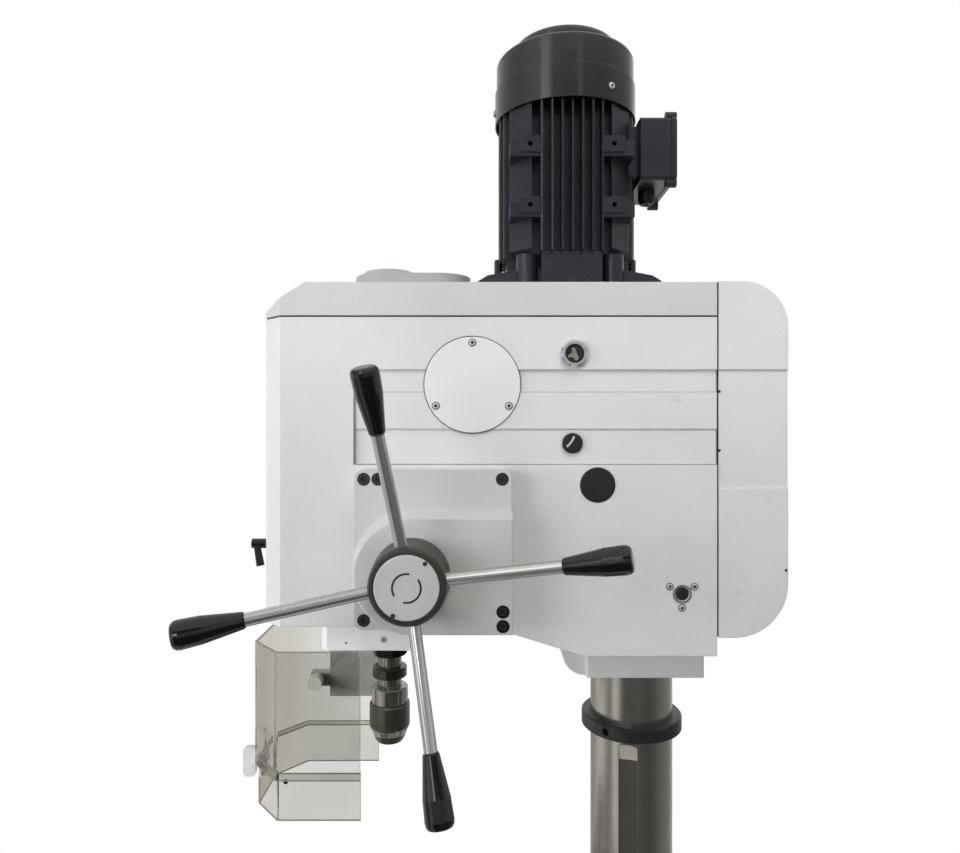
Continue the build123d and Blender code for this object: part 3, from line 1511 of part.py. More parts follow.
# Chuck guard: one outline, drawn in for the wall and for the sliding lower shield
def guard_outline(inset, z_low, z_high):
    behind = guard_rear_y + 60
    face = make_face(Polyline(
        (guard_half_width, behind, z_low), (guard_half_width, guard_bevel_y, z_low),
        (guard_front_half_width, guard_front_y, z_low), (-guard_front_half_width, guard_front_y, z_low),
        (-guard_half_width, guard_bevel_y, z_low), (-guard_half_width, behind, z_low), close=True))
    if inset > 0:
        face = offset(face, amount=-inset, kind=Kind.INTERSECTION)
    face = fillet(face.vertices().sort_by(Axis.Y)[:4], guard_bend_radius - inset)
    return extrude(face, amount=z_high - z_low, dir=(0, 0, 1))


def guard_panes(inset, z_low, z_high):
    panes = guard_outline(inset, z_low, z_high) - guard_outline(inset + guard_wall, z_low - 1, z_high + 1)
    keep = guard_half_width + 1
    return panes & block(-keep, keep, guard_front_y - 1, guard_rear_y, z_low, z_high)


def guard_knob_place():
    return (guard_box_front_y - 20, (guard_box_low_z + guard_box_high_z) / 2 - 10)


def guard_shield():
    y, z = guard_knob_place()
    panes = guard_panes(0, guard_mid_z, guard_high_z)
    rear_corners = panes.edges().filter_by(Axis.X).group_by(Axis.Z)[-1].group_by(Axis.Y)[-1]
    panes = fillet(rear_corners, guard_corner_radius)
    slot_half = guard_screw_radius + slide_gap
    slot_low = guard_screw_z - guard_fall - slot_half
    tab = block(-guard_tab_half_width, guard_tab_half_width, guard_front_y, guard_front_y + guard_wall,
                slot_low - guard_tab_lip, guard_mid_z + 1)
    panes += fillet(tab.edges().filter_by(Axis.Y).group_by(Axis.Z)[0], guard_tab_corner)
    panes -= block(-slot_half, slot_half, guard_front_y - 1, guard_front_y + guard_wall + 1, slot_low,
                   guard_screw_z + guard_rise + slot_half)
    return panes - cylinder_x(guard_screw_radius + seat_gap, -guard_half_width - 1,
                              -guard_half_width + guard_wall + 1, y, z)


def guard_slide():
    panes = guard_panes(guard_wall + slide_gap, guard_low_z, guard_slide_high_z)
    screw_hole = cylinder_y(guard_screw_radius + seat_gap, guard_front_y - 1, guard_front_y + 3 * guard_wall,
                            0, guard_screw_z)
    return panes - screw_hole


def guard_screw():
    outer = guard_front_y
    root = outer - guard_hub_length
    half = guard_wing_thickness / 2
    hub = cylinder_y(guard_hub_radius, root, outer - slide_gap, 0, guard_screw_z)
    wing = block(-half, half, root - guard_wing_length + half, root + half,
                 guard_screw_z - guard_wing_reach, guard_screw_z + guard_wing_reach)
    wing = fillet(wing.edges().filter_by(Axis.X), guard_wing_length / 3)
    return hub + wing + cylinder_y(guard_screw_radius, root, outer + 2 * guard_wall + 2, 0, guard_screw_z)


def guard_post():
    top = head_bottom_front_z
    post = cylinder_z(guard_post_radius, guard_box_low_z - 10, top, guard_post_x, guard_post_y)
    post += cylinder_z(guard_post_radius + 9, top - 6, top, guard_post_x, guard_post_y)
    return post + cylinder_z(guard_post_radius + 4, guard_box_low_z - 10, guard_box_low_z - slide_gap,
                             guard_post_x, guard_post_y)


def guard_box():
    outer_x = -guard_half_width - guard_box_depth
    low = guard_box_low_z
    high = guard_box_high_z
    box = block(outer_x, -guard_half_width, guard_box_front_y, guard_post_y, low, high)
    barrel = -guard_half_width - guard_post_x
    box += cylinder_z(barrel, low, high, guard_post_x, guard_post_y)
    box -= cylinder_z(guard_post_radius + run_gap, low - 1, high + 1, guard_post_x, guard_post_y)
    y, z = guard_knob_place()
    inner = -guard_half_width + guard_wall
    stem = cylinder_x(guard_screw_radius, outer_x, inner + 1, y, z)
    nut = block(outer_x, -guard_half_width, y - 10, guard_box_front_y + 1, z - 10, z + 10)
    knob = cylinder_x(guard_knob_radius, inner, inner + guard_knob_length, y, z)
    return box + nut + stem + knob


# Every piece, by the name of its node
pieces = {
    "base_plate": base_plate(),
    "column_flange": column_flange(),
    "flange_bolts": flange_bolts(),
    "column": column(),
    "column_rack": column_rack(),
    "column_collar": column_collar(),
    "table_bracket": table_bracket(),
    "work_table": work_table(),
    "table_crank": table_crank(),
    "crank_grip": crank_grip(),
    "table_lock_lever": table_lock_lever(),
    "head_casting": head_casting(),
    "bore_plugs": bore_plugs(),
    "round_cover": round_cover(),
    "sight_glass_bezel": sight_glass_bezel(),
    "sight_glass_lens": sight_glass_lens(),
    "top_cover": top_cover(),
    "spindle_cap": spindle_cap(),
    "rear_cabinet": rear_cabinet(),
    "nose_block": nose_block(),
    "feed_cover": feed_cover(),
    "feed_cover_screws": feed_cover_screws(),
    "front_panel": front_panel(),
    "start_button": push_button(button_places()[0][0]),
    "stop_button": push_button(button_places()[1][0]),
    "gear_selector": gear_selector(),
    "quill_lock_lever": quill_lock_lever(),
    "feed_shaft": feed_shaft(),
    "feed_hub": feed_hub(),
    "hub_cap": hub_cap(),
    "feed_rods": feed_rods(),
    "feed_grips": feed_grips(),
    "spring_housing": spring_housing(),
    "quill": quill(),
    "quill_bearings": quill_bearings(),
    "spindle": spindle(),
    "chuck_body": chuck_body(),
    "chuck_sleeve": chuck_sleeve(),
    "chuck_jaw_1": chuck_jaw(0),
    "chuck_jaw_2": chuck_jaw(1),
    "chuck_jaw_3": chuck_jaw(2),
    "countershaft": train_shaft(counter_y),
    "countershaft_gears": countershaft_gears(),
    "layshaft": train_shaft(lay_y),
    "layshaft_gears": layshaft_gears(),
    "spindle_gear": spindle_gear(),
    "shaft_bearings": shaft_bearings(),
    "motor_rotor": motor_rotor(),
    "motor_fan": motor_fan(),
    "motor_flange": motor_flange(),
    "motor_frame": motor_frame(),
    "fan_cowl": fan_cowl(),
    "terminal_box": terminal_box(),
    "terminal_lid": terminal_lid(),
    "cable_gland": cable_gland(),
    "guard_post": guard_post(),
    "guard_box": guard_box(),
    "guard_shield": guard_shield(),
    "guard_slide": guard_slide(),
    "guard_screw": guard_screw(),
}
for node, shape in pieces.items():
    save(node, shape)
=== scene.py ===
import bpy
import bmesh
import json
import math
import numpy as np
from mathutils import Matrix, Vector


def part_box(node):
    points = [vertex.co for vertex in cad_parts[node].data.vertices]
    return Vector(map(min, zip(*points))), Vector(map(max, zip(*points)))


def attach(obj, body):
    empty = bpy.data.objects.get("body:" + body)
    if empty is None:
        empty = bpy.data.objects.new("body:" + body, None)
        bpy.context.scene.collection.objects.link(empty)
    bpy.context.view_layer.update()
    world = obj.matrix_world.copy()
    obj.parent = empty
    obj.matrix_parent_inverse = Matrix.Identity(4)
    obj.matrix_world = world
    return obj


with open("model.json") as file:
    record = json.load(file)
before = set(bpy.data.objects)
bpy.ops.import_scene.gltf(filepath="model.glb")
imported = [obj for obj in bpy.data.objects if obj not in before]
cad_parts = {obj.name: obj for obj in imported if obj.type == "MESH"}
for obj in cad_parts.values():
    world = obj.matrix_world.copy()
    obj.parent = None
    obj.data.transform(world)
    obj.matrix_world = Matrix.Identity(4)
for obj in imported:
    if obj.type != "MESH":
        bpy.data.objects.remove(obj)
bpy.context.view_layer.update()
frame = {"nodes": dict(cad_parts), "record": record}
cadNodes = frame["nodes"]
print("column drill loaded,", len(cadNodes), "nodes")


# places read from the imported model
def middleOf(node):
    low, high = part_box(node)
    return (np.array(low) + np.array(high)) / 2


def highOf(node):
    return np.array(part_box(node)[1])


def lowOf(node):
    return np.array(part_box(node)[0])


# quads between neighbouring points of a grid, as one index array
def gridQuads(rows, columns, wrapRows, wrapColumns):
    row = np.arange(rows if wrapRows else rows - 1)
    column = np.arange(columns if wrapColumns else columns - 1)
    row, column = np.meshgrid(row, column, indexing="ij")
    nextRow = (row + 1) % rows
    nextColumn = (column + 1) % columns
    corners = [(row, column), (nextRow, column), (nextRow, nextColumn), (row, nextColumn)]
    return np.stack([r * columns + c for r, c in corners], -1).reshape(-1, 4)


# several grids become one closed piece: doubles merged, faces turned outwards, sharp edges kept
def makePiece(name, patches, finish, body, sharp=38.0):
    points = []
    quads = []
    start = 0
    for grid, wrapRows, wrapColumns in patches:
        rows, columns = grid.shape[:2]
        points.append(grid.reshape(-1, 3))
        quads.append(gridQuads(rows, columns, wrapRows, wrapColumns) + start)
        start += rows * columns
    mesh = bpy.data.meshes.new(name)
    mesh.from_pydata(np.concatenate(points).tolist(), [], np.concatenate(quads).tolist())
    shell = bmesh.new()
    shell.from_mesh(mesh)
    bmesh.ops.remove_doubles(shell, verts=shell.verts, dist=1e-6)
    bmesh.ops.recalc_face_normals(shell, faces=shell.faces)
    shell.to_mesh(mesh)
    shell.free()
    mesh.shade_smooth()
    mesh.set_sharp_from_angle(angle=math.radians(sharp))
    piece = bpy.data.objects.new(name, mesh)
    bpy.context.scene.collection.objects.link(piece)
    mesh.materials.append(finish)
    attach(piece, body)
    return piece


# two directions square to an axis
def squareTo(axis):
    axis = np.array(axis, float) / np.linalg.norm(axis)
    other = np.array((0.0, 0.0, 1.0)) if abs(axis[2]) < 0.9 else np.array((1.0, 0.0, 0.0))
    side = np.cross(other, axis)
    side /= np.linalg.norm(side)
    return axis, side, np.cross(axis, side)


# a hexagon's reach against the circle round it: cos 30 / cos(angle from the nearest flat)
def hexReach(angle):
    return math.cos(math.pi / 6) / np.cos(np.mod(angle, math.pi / 3) - math.pi / 6)


# a profile of (along, radius, hexness) goes round an axis: place + along * axis + radius * lobes * direction(angle)
def spunGrid(profile, place, axis, steps=48, lobes=None):
    profile = np.array([(p[0], p[1], p[2] if len(p) > 2 else 0.0) for p in profile])
    axis, side, up = squareTo(axis)
    angle = np.linspace(0, 2 * math.pi, steps, endpoint=False)
    ring = np.cos(angle)[:, None] * side + np.sin(angle)[:, None] * up
    reach = profile[None, :, 1] * (1 - profile[None, :, 2] * (1 - hexReach(angle)[:, None]))
    if lobes is not None:
        reach = reach * lobes(angle)[:, None]
    points = np.array(place) + profile[None, :, 0, None] * axis + reach[:, :, None] * ring[:, None, :]
    return points, True, False


# how far heads and marks reach below their face, and how far a thin shade stands above it
seatDepth, markDepth, shadeProud = 0.0004, 0.0003, 0.0002

# a socket screw's head of size (radius, height, socket), in shares of it: rounded rim, flat crown,
# six-sided socket with a flat floor
# gap and socketShade size the painted shade: a dark ring round the head and a dark disc in the socket
headShape = {"shoulder": 0.55, "rimHeight": 0.85, "rimRadius": 0.93, "crown": 0.78, "floor": 0.25,
             "gap": 1.22, "socketShade": 0.84}


def socketHead(place, axis, radius, height, socket):
    floor = height * headShape["floor"]
    return spunGrid([
        (-seatDepth, 0), (-seatDepth, radius), (height * headShape["shoulder"], radius),
        (height * headShape["rimHeight"], radius * headShape["rimRadius"]), (height, radius * headShape["crown"]),
        (height, socket, 1), (floor, socket, 1), (floor, 0, 1),
    ], place, axis)


# a flat ring between two radii, and a flat disc, each from one height to another along an axis
def flatRing(place, axis, inner, outer, low, high, steps=48):
    return spunGrid([(low, inner), (low, outer), (high, outer), (high, inner), (low, inner)], place, axis, steps)


def flatDisc(place, axis, radius, low, high, steps=48, lobes=None):
    return spunGrid([(low, 0), (low, radius), (high, radius), (high, 0)], place, axis, steps, lobes)


# painted shade: a dark ring round a sunk screw's head and a dark disc on the floor of its socket
def screwShade(place, axis, radius, height, socket):
    floor = height * headShape["floor"]
    return [flatRing(place, axis, radius, radius * headShape["gap"], -seatDepth, shadeProud),
            flatDisc(place, axis, socket * headShape["socketShade"], floor - markDepth, floor + markDepth, 24)]


# a hexagon bolt's head on a washer
boltShape = {"washer": 0.002, "round": 0.0004, "chamfer": 0.001, "crown": 0.9, "crownHex": 0.4}


def hexHead(place, axis, flats, height, washer):
    corner = flats / 2 / math.cos(math.pi / 6)
    thick, rounded = boltShape["washer"], boltShape["round"]
    return spunGrid([
        (-seatDepth, 0), (-seatDepth, washer), (thick - rounded, washer), (thick, washer - rounded),
        (thick, corner, 1), (height - boltShape["chamfer"], corner, 1),
        (height, corner * boltShape["crown"], boltShape["crownHex"]), (height, 0),
    ], place, axis)


# material building blocks
def startFinish(name):
    finish = bpy.data.materials.new(name)
    finish.use_nodes = True
    return finish, finish.node_tree, finish.node_tree.nodes["Principled BSDF"]


def setSockets(shader, values):
    for socket, value in values.items():
        shader.inputs[socket].default_value = value


# noise on the piece's own coordinates, in metres; stretch under 1 draws it out along that axis
def grain(tree, scale, detail=3.0, stretch=(1, 1, 1), offset=(0, 0, 0), roughness=0.5):
    place = tree.nodes.new("ShaderNodeTexCoord")
    mapping = tree.nodes.new("ShaderNodeMapping")
    mapping.inputs["Scale"].default_value = stretch
    mapping.inputs["Location"].default_value = offset
    noise = tree.nodes.new("ShaderNodeTexNoise")
    noise.inputs["Scale"].default_value = scale
    noise.inputs["Detail"].default_value = detail
    noise.inputs["Roughness"].default_value = roughness
    tree.links.new(place.outputs["Object"], mapping.inputs["Vector"])
    tree.links.new(mapping.outputs["Vector"], noise.inputs["Vector"])
    return noise.outputs["Fac"]


def spread(tree, value, fromLow, fromHigh, toLow, toHigh):
    node = tree.nodes.new("ShaderNodeMapRange")
    for socket, number in zip(("From Min", "From Max", "To Min", "To Max"), (fromLow, fromHigh, toLow, toHigh)):
        node.inputs[socket].default_value = number
    tree.links.new(value, node.inputs["Value"])
    return node.outputs["Result"]


# a slow noise as a share from 0 to 1, for two close shades
def cloudy(tree, scale, detail):
    return spread(tree, grain(tree, scale, detail), 0.35, 0.65, 0, 1)


def blendColours(tree, amount, first, second):
    node = tree.nodes.new("ShaderNodeMix")
    node.data_type = "RGBA"
    tree.links.new(amount, node.inputs[0])
    for socket, colour in ((node.inputs[6], first), (node.inputs[7], second)):
        if isinstance(colour, tuple):
            socket.default_value = (*colour, 1)
        else:
            tree.links.new(colour, socket)
    return node.outputs[2]


def combine(tree, operation, first, second):
    node = tree.nodes.new("ShaderNodeMath")
    node.operation = operation
    for socket, value in zip(node.inputs, (first, second)):
        if isinstance(value, (int, float)):
            socket.default_value = value
        else:
            tree.links.new(value, socket)
    return node.outputs["Value"]


# one coordinate of a piece, for shades that follow a place
def along(tree, axis):
    place = tree.nodes.new("ShaderNodeTexCoord")
    split = tree.nodes.new("ShaderNodeSeparateXYZ")
    tree.links.new(place.outputs["Object"], split.inputs["Vector"])
    return split.outputs[axis]


# normals rounded over at sharp edges, and nearness to an edge: 1 - |dot(rounded normal, face normal)|
def softEdges(tree, radius):
    bevel = tree.nodes.new("ShaderNodeBevel")
    bevel.samples = 4
    bevel.inputs["Radius"].default_value = radius
    facing = tree.nodes.new("ShaderNodeNewGeometry")
    likeness = tree.nodes.new("ShaderNodeVectorMath")
    likeness.operation = "DOT_PRODUCT"
    tree.links.new(bevel.outputs["Normal"], likeness.inputs[0])
    tree.links.new(facing.outputs["Normal"], likeness.inputs[1])
    alike = combine(tree, "ABSOLUTE", likeness.outputs["Value"], 0.0)
    return bevel.outputs["Normal"], combine(tree, "SUBTRACT", 1.0, alike)


def bumpOn(tree, shader, height, strength, distance, normal):
    node = tree.nodes.new("ShaderNodeBump")
    node.inputs["Strength"].default_value = strength
    node.inputs["Distance"].default_value = distance
    tree.links.new(height, node.inputs["Height"])
    tree.links.new(normal, node.inputs["Normal"])
    tree.links.new(node.outputs["Normal"], shader.inputs["Normal"])


# a display colour, 0 to 255 a channel, as the linear value that shaders take
def tint(red, green, blue):
    channel = np.array((red, green, blue)) / 255
    linear = np.where(channel > 0.04045, ((channel + 0.055) / 1.055) ** 2.4, channel / 12.92)
    return tuple(float(c) for c in linear)


# sprayed paint: two close shades in large clouds, small grimy marks, orange peel, and edges in the edge colour: rubbed
# wear, and a painted highlight where that colour is lighter than the paint
paintShape = {"markSoft": 0.12, "edgePatchScale": 70.0, "peelDepth": 0.0004}


def paintFinish(name, look):
    finish, tree, shader = startFinish(name)
    colour = blendColours(tree, cloudy(tree, look["cloudScale"], 2.0), look["light"], look["shade"])
    markNoise = grain(tree, look["markScale"], 5.0, offset=(3, 1, 2))
    marks = spread(tree, markNoise, look["markFrom"], look["markFrom"] + paintShape["markSoft"], 0, look["markAmount"])
    colour = blendColours(tree, marks, colour, look["mark"])
    normal, edge = softEdges(tree, look["edgeRadius"])
    patches = spread(tree, grain(tree, paintShape["edgePatchScale"], 4.0), 0.4, 0.65, 0, look["edgeWearAndHighlight"])
    # edges take the edge colour: wear, and a painted highlight on paints whose edge colour is lighter
    wornAndLitEdge = combine(tree, "MINIMUM", combine(tree, "MULTIPLY", edge, patches), 1.0)
    tree.links.new(blendColours(tree, wornAndLitEdge, colour, look["edge"]), shader.inputs["Base Color"])
    gloss = spread(tree, grain(tree, look["cloudScale"] * 3, 4.0), 0.3, 0.7, *look["rough"])
    tree.links.new(gloss, shader.inputs["Roughness"])
    peelDepth = look.get("peelDepth", paintShape["peelDepth"])
    bumpOn(tree, shader, grain(tree, look["peelScale"], 2.0), look["peel"], peelDepth, normal)
    setSockets(shader, look.get("sockets", {}))
    return finish


# painted reflection: streaks along rods that stand round a hub, noise of depth across the rod plus a share of the
# sideways place,
# depth = x cos(lean) - reach sin(lean), sideways = reach sin(count (turn - first))
def rodReflectionStreaks(tree, rods):
    y = combine(tree, "SUBTRACT", along(tree, "Y"), rods["middle"][0])
    z = combine(tree, "SUBTRACT", along(tree, "Z"), rods["middle"][1])
    squares = combine(tree, "ADD", combine(tree, "MULTIPLY", y, y), combine(tree, "MULTIPLY", z, z))
    reach = combine(tree, "SQRT", squares, 0.0)
    turn = combine(tree, "SUBTRACT", combine(tree, "ARCTAN2", z, y), math.radians(rods["first"]))
    wave = combine(tree, "SINE", combine(tree, "MULTIPLY", turn, rods["count"]), 0.0)
    sideways = combine(tree, "MULTIPLY", reach, wave)
    lean = math.radians(rods["lean"])
    depth = combine(tree, "SUBTRACT", combine(tree, "MULTIPLY", along(tree, "X"), math.cos(lean)),
                    combine(tree, "MULTIPLY", reach, math.sin(lean)))
    place = combine(tree, "ADD", depth, combine(tree, "MULTIPLY", sideways, rods["sideShare"]))
    noise = tree.nodes.new("ShaderNodeTexNoise")
    noise.noise_dimensions = "1D"
    noise.inputs["Scale"].default_value = rods["scale"]
    noise.inputs["Detail"].default_value = 3.0
    tree.links.new(place, noise.inputs["W"])
    return noise.outputs["Fac"]


# bare metal: fine lines left by grinding or turning, drawn out along the stretch, with oily stains; on the rods, the
# chuck and the spindle these are light and dark streaks, a painted reflection
lineDepth = 0.0003


def steelFinish(name, look):
    finish, tree, shader = startFinish(name)
    if "rods" in look:
        linesAndStreaks = rodReflectionStreaks(tree, look["rods"])
    else:
        linesAndStreaks = grain(tree, look["lineScale"], 4.0, look["stretch"], roughness=0.65)
    stain = spread(tree, grain(tree, look["stainScale"], 3.0), 0.4, 0.7, 0, look["stainAmount"])
    bright = blendColours(tree, spread(tree, linesAndStreaks, 0.3, 0.7, 0, 1), look["dark"], look["light"])
    colour = blendColours(tree, stain, bright, look["stain"])
    for low, high, shade in look.get("bands", ()):
        above = combine(tree, "GREATER_THAN", along(tree, "Z"), low)
        within = combine(tree, "MULTIPLY", above, combine(tree, "LESS_THAN", along(tree, "Z"), high))
        colour = blendColours(tree, within, colour, shade)
    normal, edge = softEdges(tree, look["edgeRadius"])
    rubbed = combine(tree, "MINIMUM", combine(tree, "MULTIPLY", edge, look["edgeWearAndHighlight"]), 1.0)
    tree.links.new(blendColours(tree, rubbed, colour, look["edge"]), shader.inputs["Base Color"])
    tree.links.new(spread(tree, linesAndStreaks, 0.25, 0.75, *look["rough"]), shader.inputs["Roughness"])
    bumpOn(tree, shader, linesAndStreaks, look["relief"], lineDepth, normal)
    setSockets(shader, look.get("sockets", {"Metallic": 1.0}))
    return finish


# moulded plastic: even colour with faint flow, fine skin texture and rubbed gloss
skinDepth = 0.0002


def plasticFinish(name, look):
    finish, tree, shader = startFinish(name)
    flow = cloudy(tree, look["flowScale"], 3.0)
    tree.links.new(blendColours(tree, flow, look["light"], look["shade"]), shader.inputs["Base Color"])
    rubbed = spread(tree, grain(tree, look["flowScale"] * 4, 5.0, offset=(1, 5, 2)), 0.35, 0.7, *look["rough"])
    tree.links.new(rubbed, shader.inputs["Roughness"])
    normal = softEdges(tree, look["edgeRadius"])[0]
    bumpOn(tree, shader, grain(tree, look["skinScale"], 2.0), look["skin"], skinDepth, normal)
    setSockets(shader, look.get("sockets", {}))
    return finish


# clear sheet: tinted transmission, hazy rubbed patches in its gloss, darker past the front bend as a painted
# reflection of darker surroundings, frosted sawn edges;
# flat sheets keep the normal of each face, and faces that lie level are sawn rims
rimFrom = (0.5, 0.6)


def clearFinish(name, look):
    finish, tree, shader = startFinish(name)
    haze = spread(tree, grain(tree, look["hazeScale"], 4.0, look["hazeStretch"]), 0.45, 0.75, *look["rough"])
    tree.links.new(haze, shader.inputs["Roughness"])
    colour = blendColours(tree, cloudy(tree, look["hazeScale"] / 3, 2.0), look["light"], look["shade"])
    # painted reflection: a darker, warmer tint past the front bend
    if "front" in look:
        colour = blendColours(tree, spread(tree, along(tree, "Y"), *look["frontFrom"], 1, 0), colour, look["front"])
    edge = softEdges(tree, look["edgeRadius"])[1]
    frosted = combine(tree, "MINIMUM", combine(tree, "MULTIPLY", edge, look["edgeFrost"]), 1.0)
    facing = tree.nodes.new("ShaderNodeNewGeometry")
    tree.links.new(facing.outputs["True Normal"], shader.inputs["Normal"])
    rise = tree.nodes.new("ShaderNodeSeparateXYZ")
    tree.links.new(facing.outputs["True Normal"], rise.inputs["Vector"])
    rim = spread(tree, combine(tree, "ABSOLUTE", rise.outputs["Z"], 0.0), *rimFrom, 0, 1)
    frosted = combine(tree, "MAXIMUM", frosted, rim)
    tree.links.new(blendColours(tree, frosted, colour, look["edge"]), shader.inputs["Base Color"])
    tree.links.new(spread(tree, frosted, 0, 1, 1.0, look["edgeClear"]), shader.inputs["Transmission Weight"])
    setSockets(shader, {"IOR": look["bend"]})
    return finish


# the finishes of the machine, one to each slot of the record
finishes = {}
# white paint; its edge colour, lighter than the paint, is a painted highlight along edges
whiteLook = {
    "cloudScale": 6.0, "light": tint(227, 227, 227), "shade": tint(219, 220, 221),
    "markScale": 30.0, "markFrom": 0.70, "markAmount": 0.35, "mark": tint(168, 165, 158),
    "edgeRadius": 0.0016, "edgeWearAndHighlight": 0.8, "edge": tint(236, 236, 235),
    "rough": (0.28, 0.40), "peelScale": 240.0, "peel": 1.0, "peelDepth": 0.0005,
    "sockets": {"Coat Weight": 0.15, "Coat Roughness": 0.25},
}
finishes["white_paint"] = paintFinish("whitePaint", whiteLook)
# painted light: a lighter copy of the white paint for the nose block, making up for the head's shadow on it
noseLitPaint = paintFinish("noseLitPaint", {
    **whiteLook, "light": tint(249, 249, 248), "shade": tint(244, 244, 243), "peel": 0.2})
# painted shade: a darker copy of the white paint for the lid
lidShadedPaint = paintFinish("lidShadedPaint", {**whiteLook, "light": tint(212, 212, 213), "shade": tint(205, 206, 208)})
discPaint = paintFinish("discPaint", {
    **whiteLook, "light": tint(236, 237, 239), "shade": tint(229, 230, 233), "peel": 0.4})
# painted shade: a darker copy of the white paint for the spindle cap on top
capShadedPaint = paintFinish("capShadedPaint", {
    **whiteLook, "light": tint(174, 174, 172), "shade": tint(168, 168, 167), "peel": 0.2})
# grey paint for the painted shade on the bands' step and edges
stepShadePaint = paintFinish("stepShadePaint", {
    **whiteLook, "light": tint(128, 127, 124), "shade": tint(110, 109, 107), "edgeWearAndHighlight": 0.0, "peel": 0.1})
coverPaint = paintFinish("coverPaint", {
    "cloudScale": 7.0, "light": tint(207, 208, 207), "shade": tint(200, 201, 200),
    "markScale": 36.0, "markFrom": 0.68, "markAmount": 0.4, "mark": tint(140, 138, 130),
    "edgeRadius": 0.0014, "edgeWearAndHighlight": 0.8, "edge": tint(222, 222, 220),
    "rough": (0.40, 0.50), "peelScale": 420.0, "peel": 0.07,
    "sockets": {"Coat Weight": 0.1, "Coat Roughness": 0.3},
})
finishes["base_paint"] = paintFinish("basePaint", {
    "cloudScale": 6.0, "light": tint(208, 209, 210), "shade": tint(200, 202, 203),
    "markScale": 22.0, "markFrom": 0.62, "markAmount": 0.45, "mark": tint(128, 125, 118),
    "edgeRadius": 0.002, "edgeWearAndHighlight": 1.5, "edge": tint(160, 160, 158),
    "rough": (0.40, 0.55), "peelScale": 300.0, "peel": 0.09,
})
finishes["motor_paint"] = paintFinish("motorPaint", {
    "cloudScale": 9.0, "light": tint(36, 39, 47), "shade": tint(30, 33, 41),
    "markScale": 60.0, "markFrom": 0.62, "markAmount": 0.35, "mark": tint(62, 62, 60),
    "edgeRadius": 0.0012, "edgeWearAndHighlight": 1.6, "edge": tint(84, 87, 92),
    "rough": (0.24, 0.34), "peelScale": 520.0, "peel": 0.08,
})
finishes["hub_grey"] = paintFinish("hubGrey", {
    "cloudScale": 14.0, "light": tint(56, 57, 51), "shade": tint(49, 50, 45),
    "markScale": 80.0, "markFrom": 0.62, "markAmount": 0.4, "mark": tint(48, 47, 43),
    "edgeRadius": 0.001, "edgeWearAndHighlight": 2.0, "edge": tint(140, 140, 136),
    "rough": (0.34, 0.46), "peelScale": 700.0, "peel": 0.1,
    "sockets": {"Metallic": 0.25},
})
finishes["panel_grey"] = paintFinish("panelGrey", {
    "cloudScale": 8.0, "light": tint(176, 178, 181), "shade": tint(168, 171, 174),
    "markScale": 50.0, "markFrom": 0.66, "markAmount": 0.3, "mark": tint(122, 121, 118),
    "edgeRadius": 0.0008, "edgeWearAndHighlight": 1.0, "edge": tint(206, 206, 205),
    "rough": (0.38, 0.5), "peelScale": 600.0, "peel": 0.06,
})
finishes["cap_silver"] = paintFinish("capSilver", {
    "cloudScale": 20.0, "light": tint(206, 206, 205), "shade": tint(199, 199, 198),
    "markScale": 130.0, "markFrom": 0.66, "markAmount": 0.15, "mark": tint(150, 150, 148),
    "edgeRadius": 0.0008, "edgeWearAndHighlight": 1.0, "edge": tint(214, 214, 213),
    "rough": (0.30, 0.40), "peelScale": 900.0, "peel": 0.05,
    "sockets": {"Metallic": 0.2},
})
finishes["ground_steel"] = steelFinish("groundSteel", {
    "lineScale": 9.0, "stretch": (4, 4, 90), "stainScale": 14.0, "stainAmount": 0.35,
    "dark": tint(182, 177, 167), "light": tint(196, 192, 183), "stain": tint(150, 143, 128),
    "edgeRadius": 0.0006, "edgeWearAndHighlight": 1.5, "edge": tint(218, 216, 210),
    "rough": (0.20, 0.26), "relief": 0.015,
})
finishes["bright_steel"] = steelFinish("brightSteel", {
    "lineScale": 40.0, "stretch": (1, 1, 6), "stainScale": 30.0, "stainAmount": 0.25,
    "dark": tint(196, 196, 194), "light": tint(216, 216, 214), "stain": tint(160, 158, 150),
    "edgeRadius": 0.0005, "edgeWearAndHighlight": 1.0, "edge": tint(232, 232, 230),
    "rough": (0.12, 0.22), "relief": 0.03,
})
finishes["dark_steel"] = steelFinish("darkSteel", {
    "lineScale": 26.0, "stretch": (8, 8, 1), "stainScale": 24.0, "stainAmount": 0.4,
    "dark": tint(94, 93, 86), "light": tint(110, 109, 102), "stain": tint(76, 74, 68),
    "edgeRadius": 0.0004, "edgeWearAndHighlight": 1.6, "edge": tint(170, 168, 160),
    "rough": (0.34, 0.42), "relief": 0.02,
})
finishes["gear_steel"] = steelFinish("gearSteel", {
    "lineScale": 50.0, "stretch": (1, 1, 5), "stainScale": 26.0, "stainAmount": 0.4,
    "dark": tint(150, 150, 150), "light": tint(178, 178, 178), "stain": tint(110, 106, 98),
    "edgeRadius": 0.0006, "edgeWearAndHighlight": 1.6, "edge": tint(208, 208, 207),
    "rough": (0.25, 0.40), "relief": 0.06,
})
finishes["black_oxide"] = steelFinish("blackOxide", {
    "lineScale": 80.0, "stretch": (1, 1, 1), "stainScale": 40.0, "stainAmount": 0.5,
    "dark": tint(38, 38, 37), "light": tint(50, 50, 48), "stain": tint(58, 55, 48),
    "edgeRadius": 0.0006, "edgeWearAndHighlight": 1.4, "edge": tint(112, 110, 104),
    "rough": (0.32, 0.46), "relief": 0.1, "sockets": {"Metallic": 0.35},
})
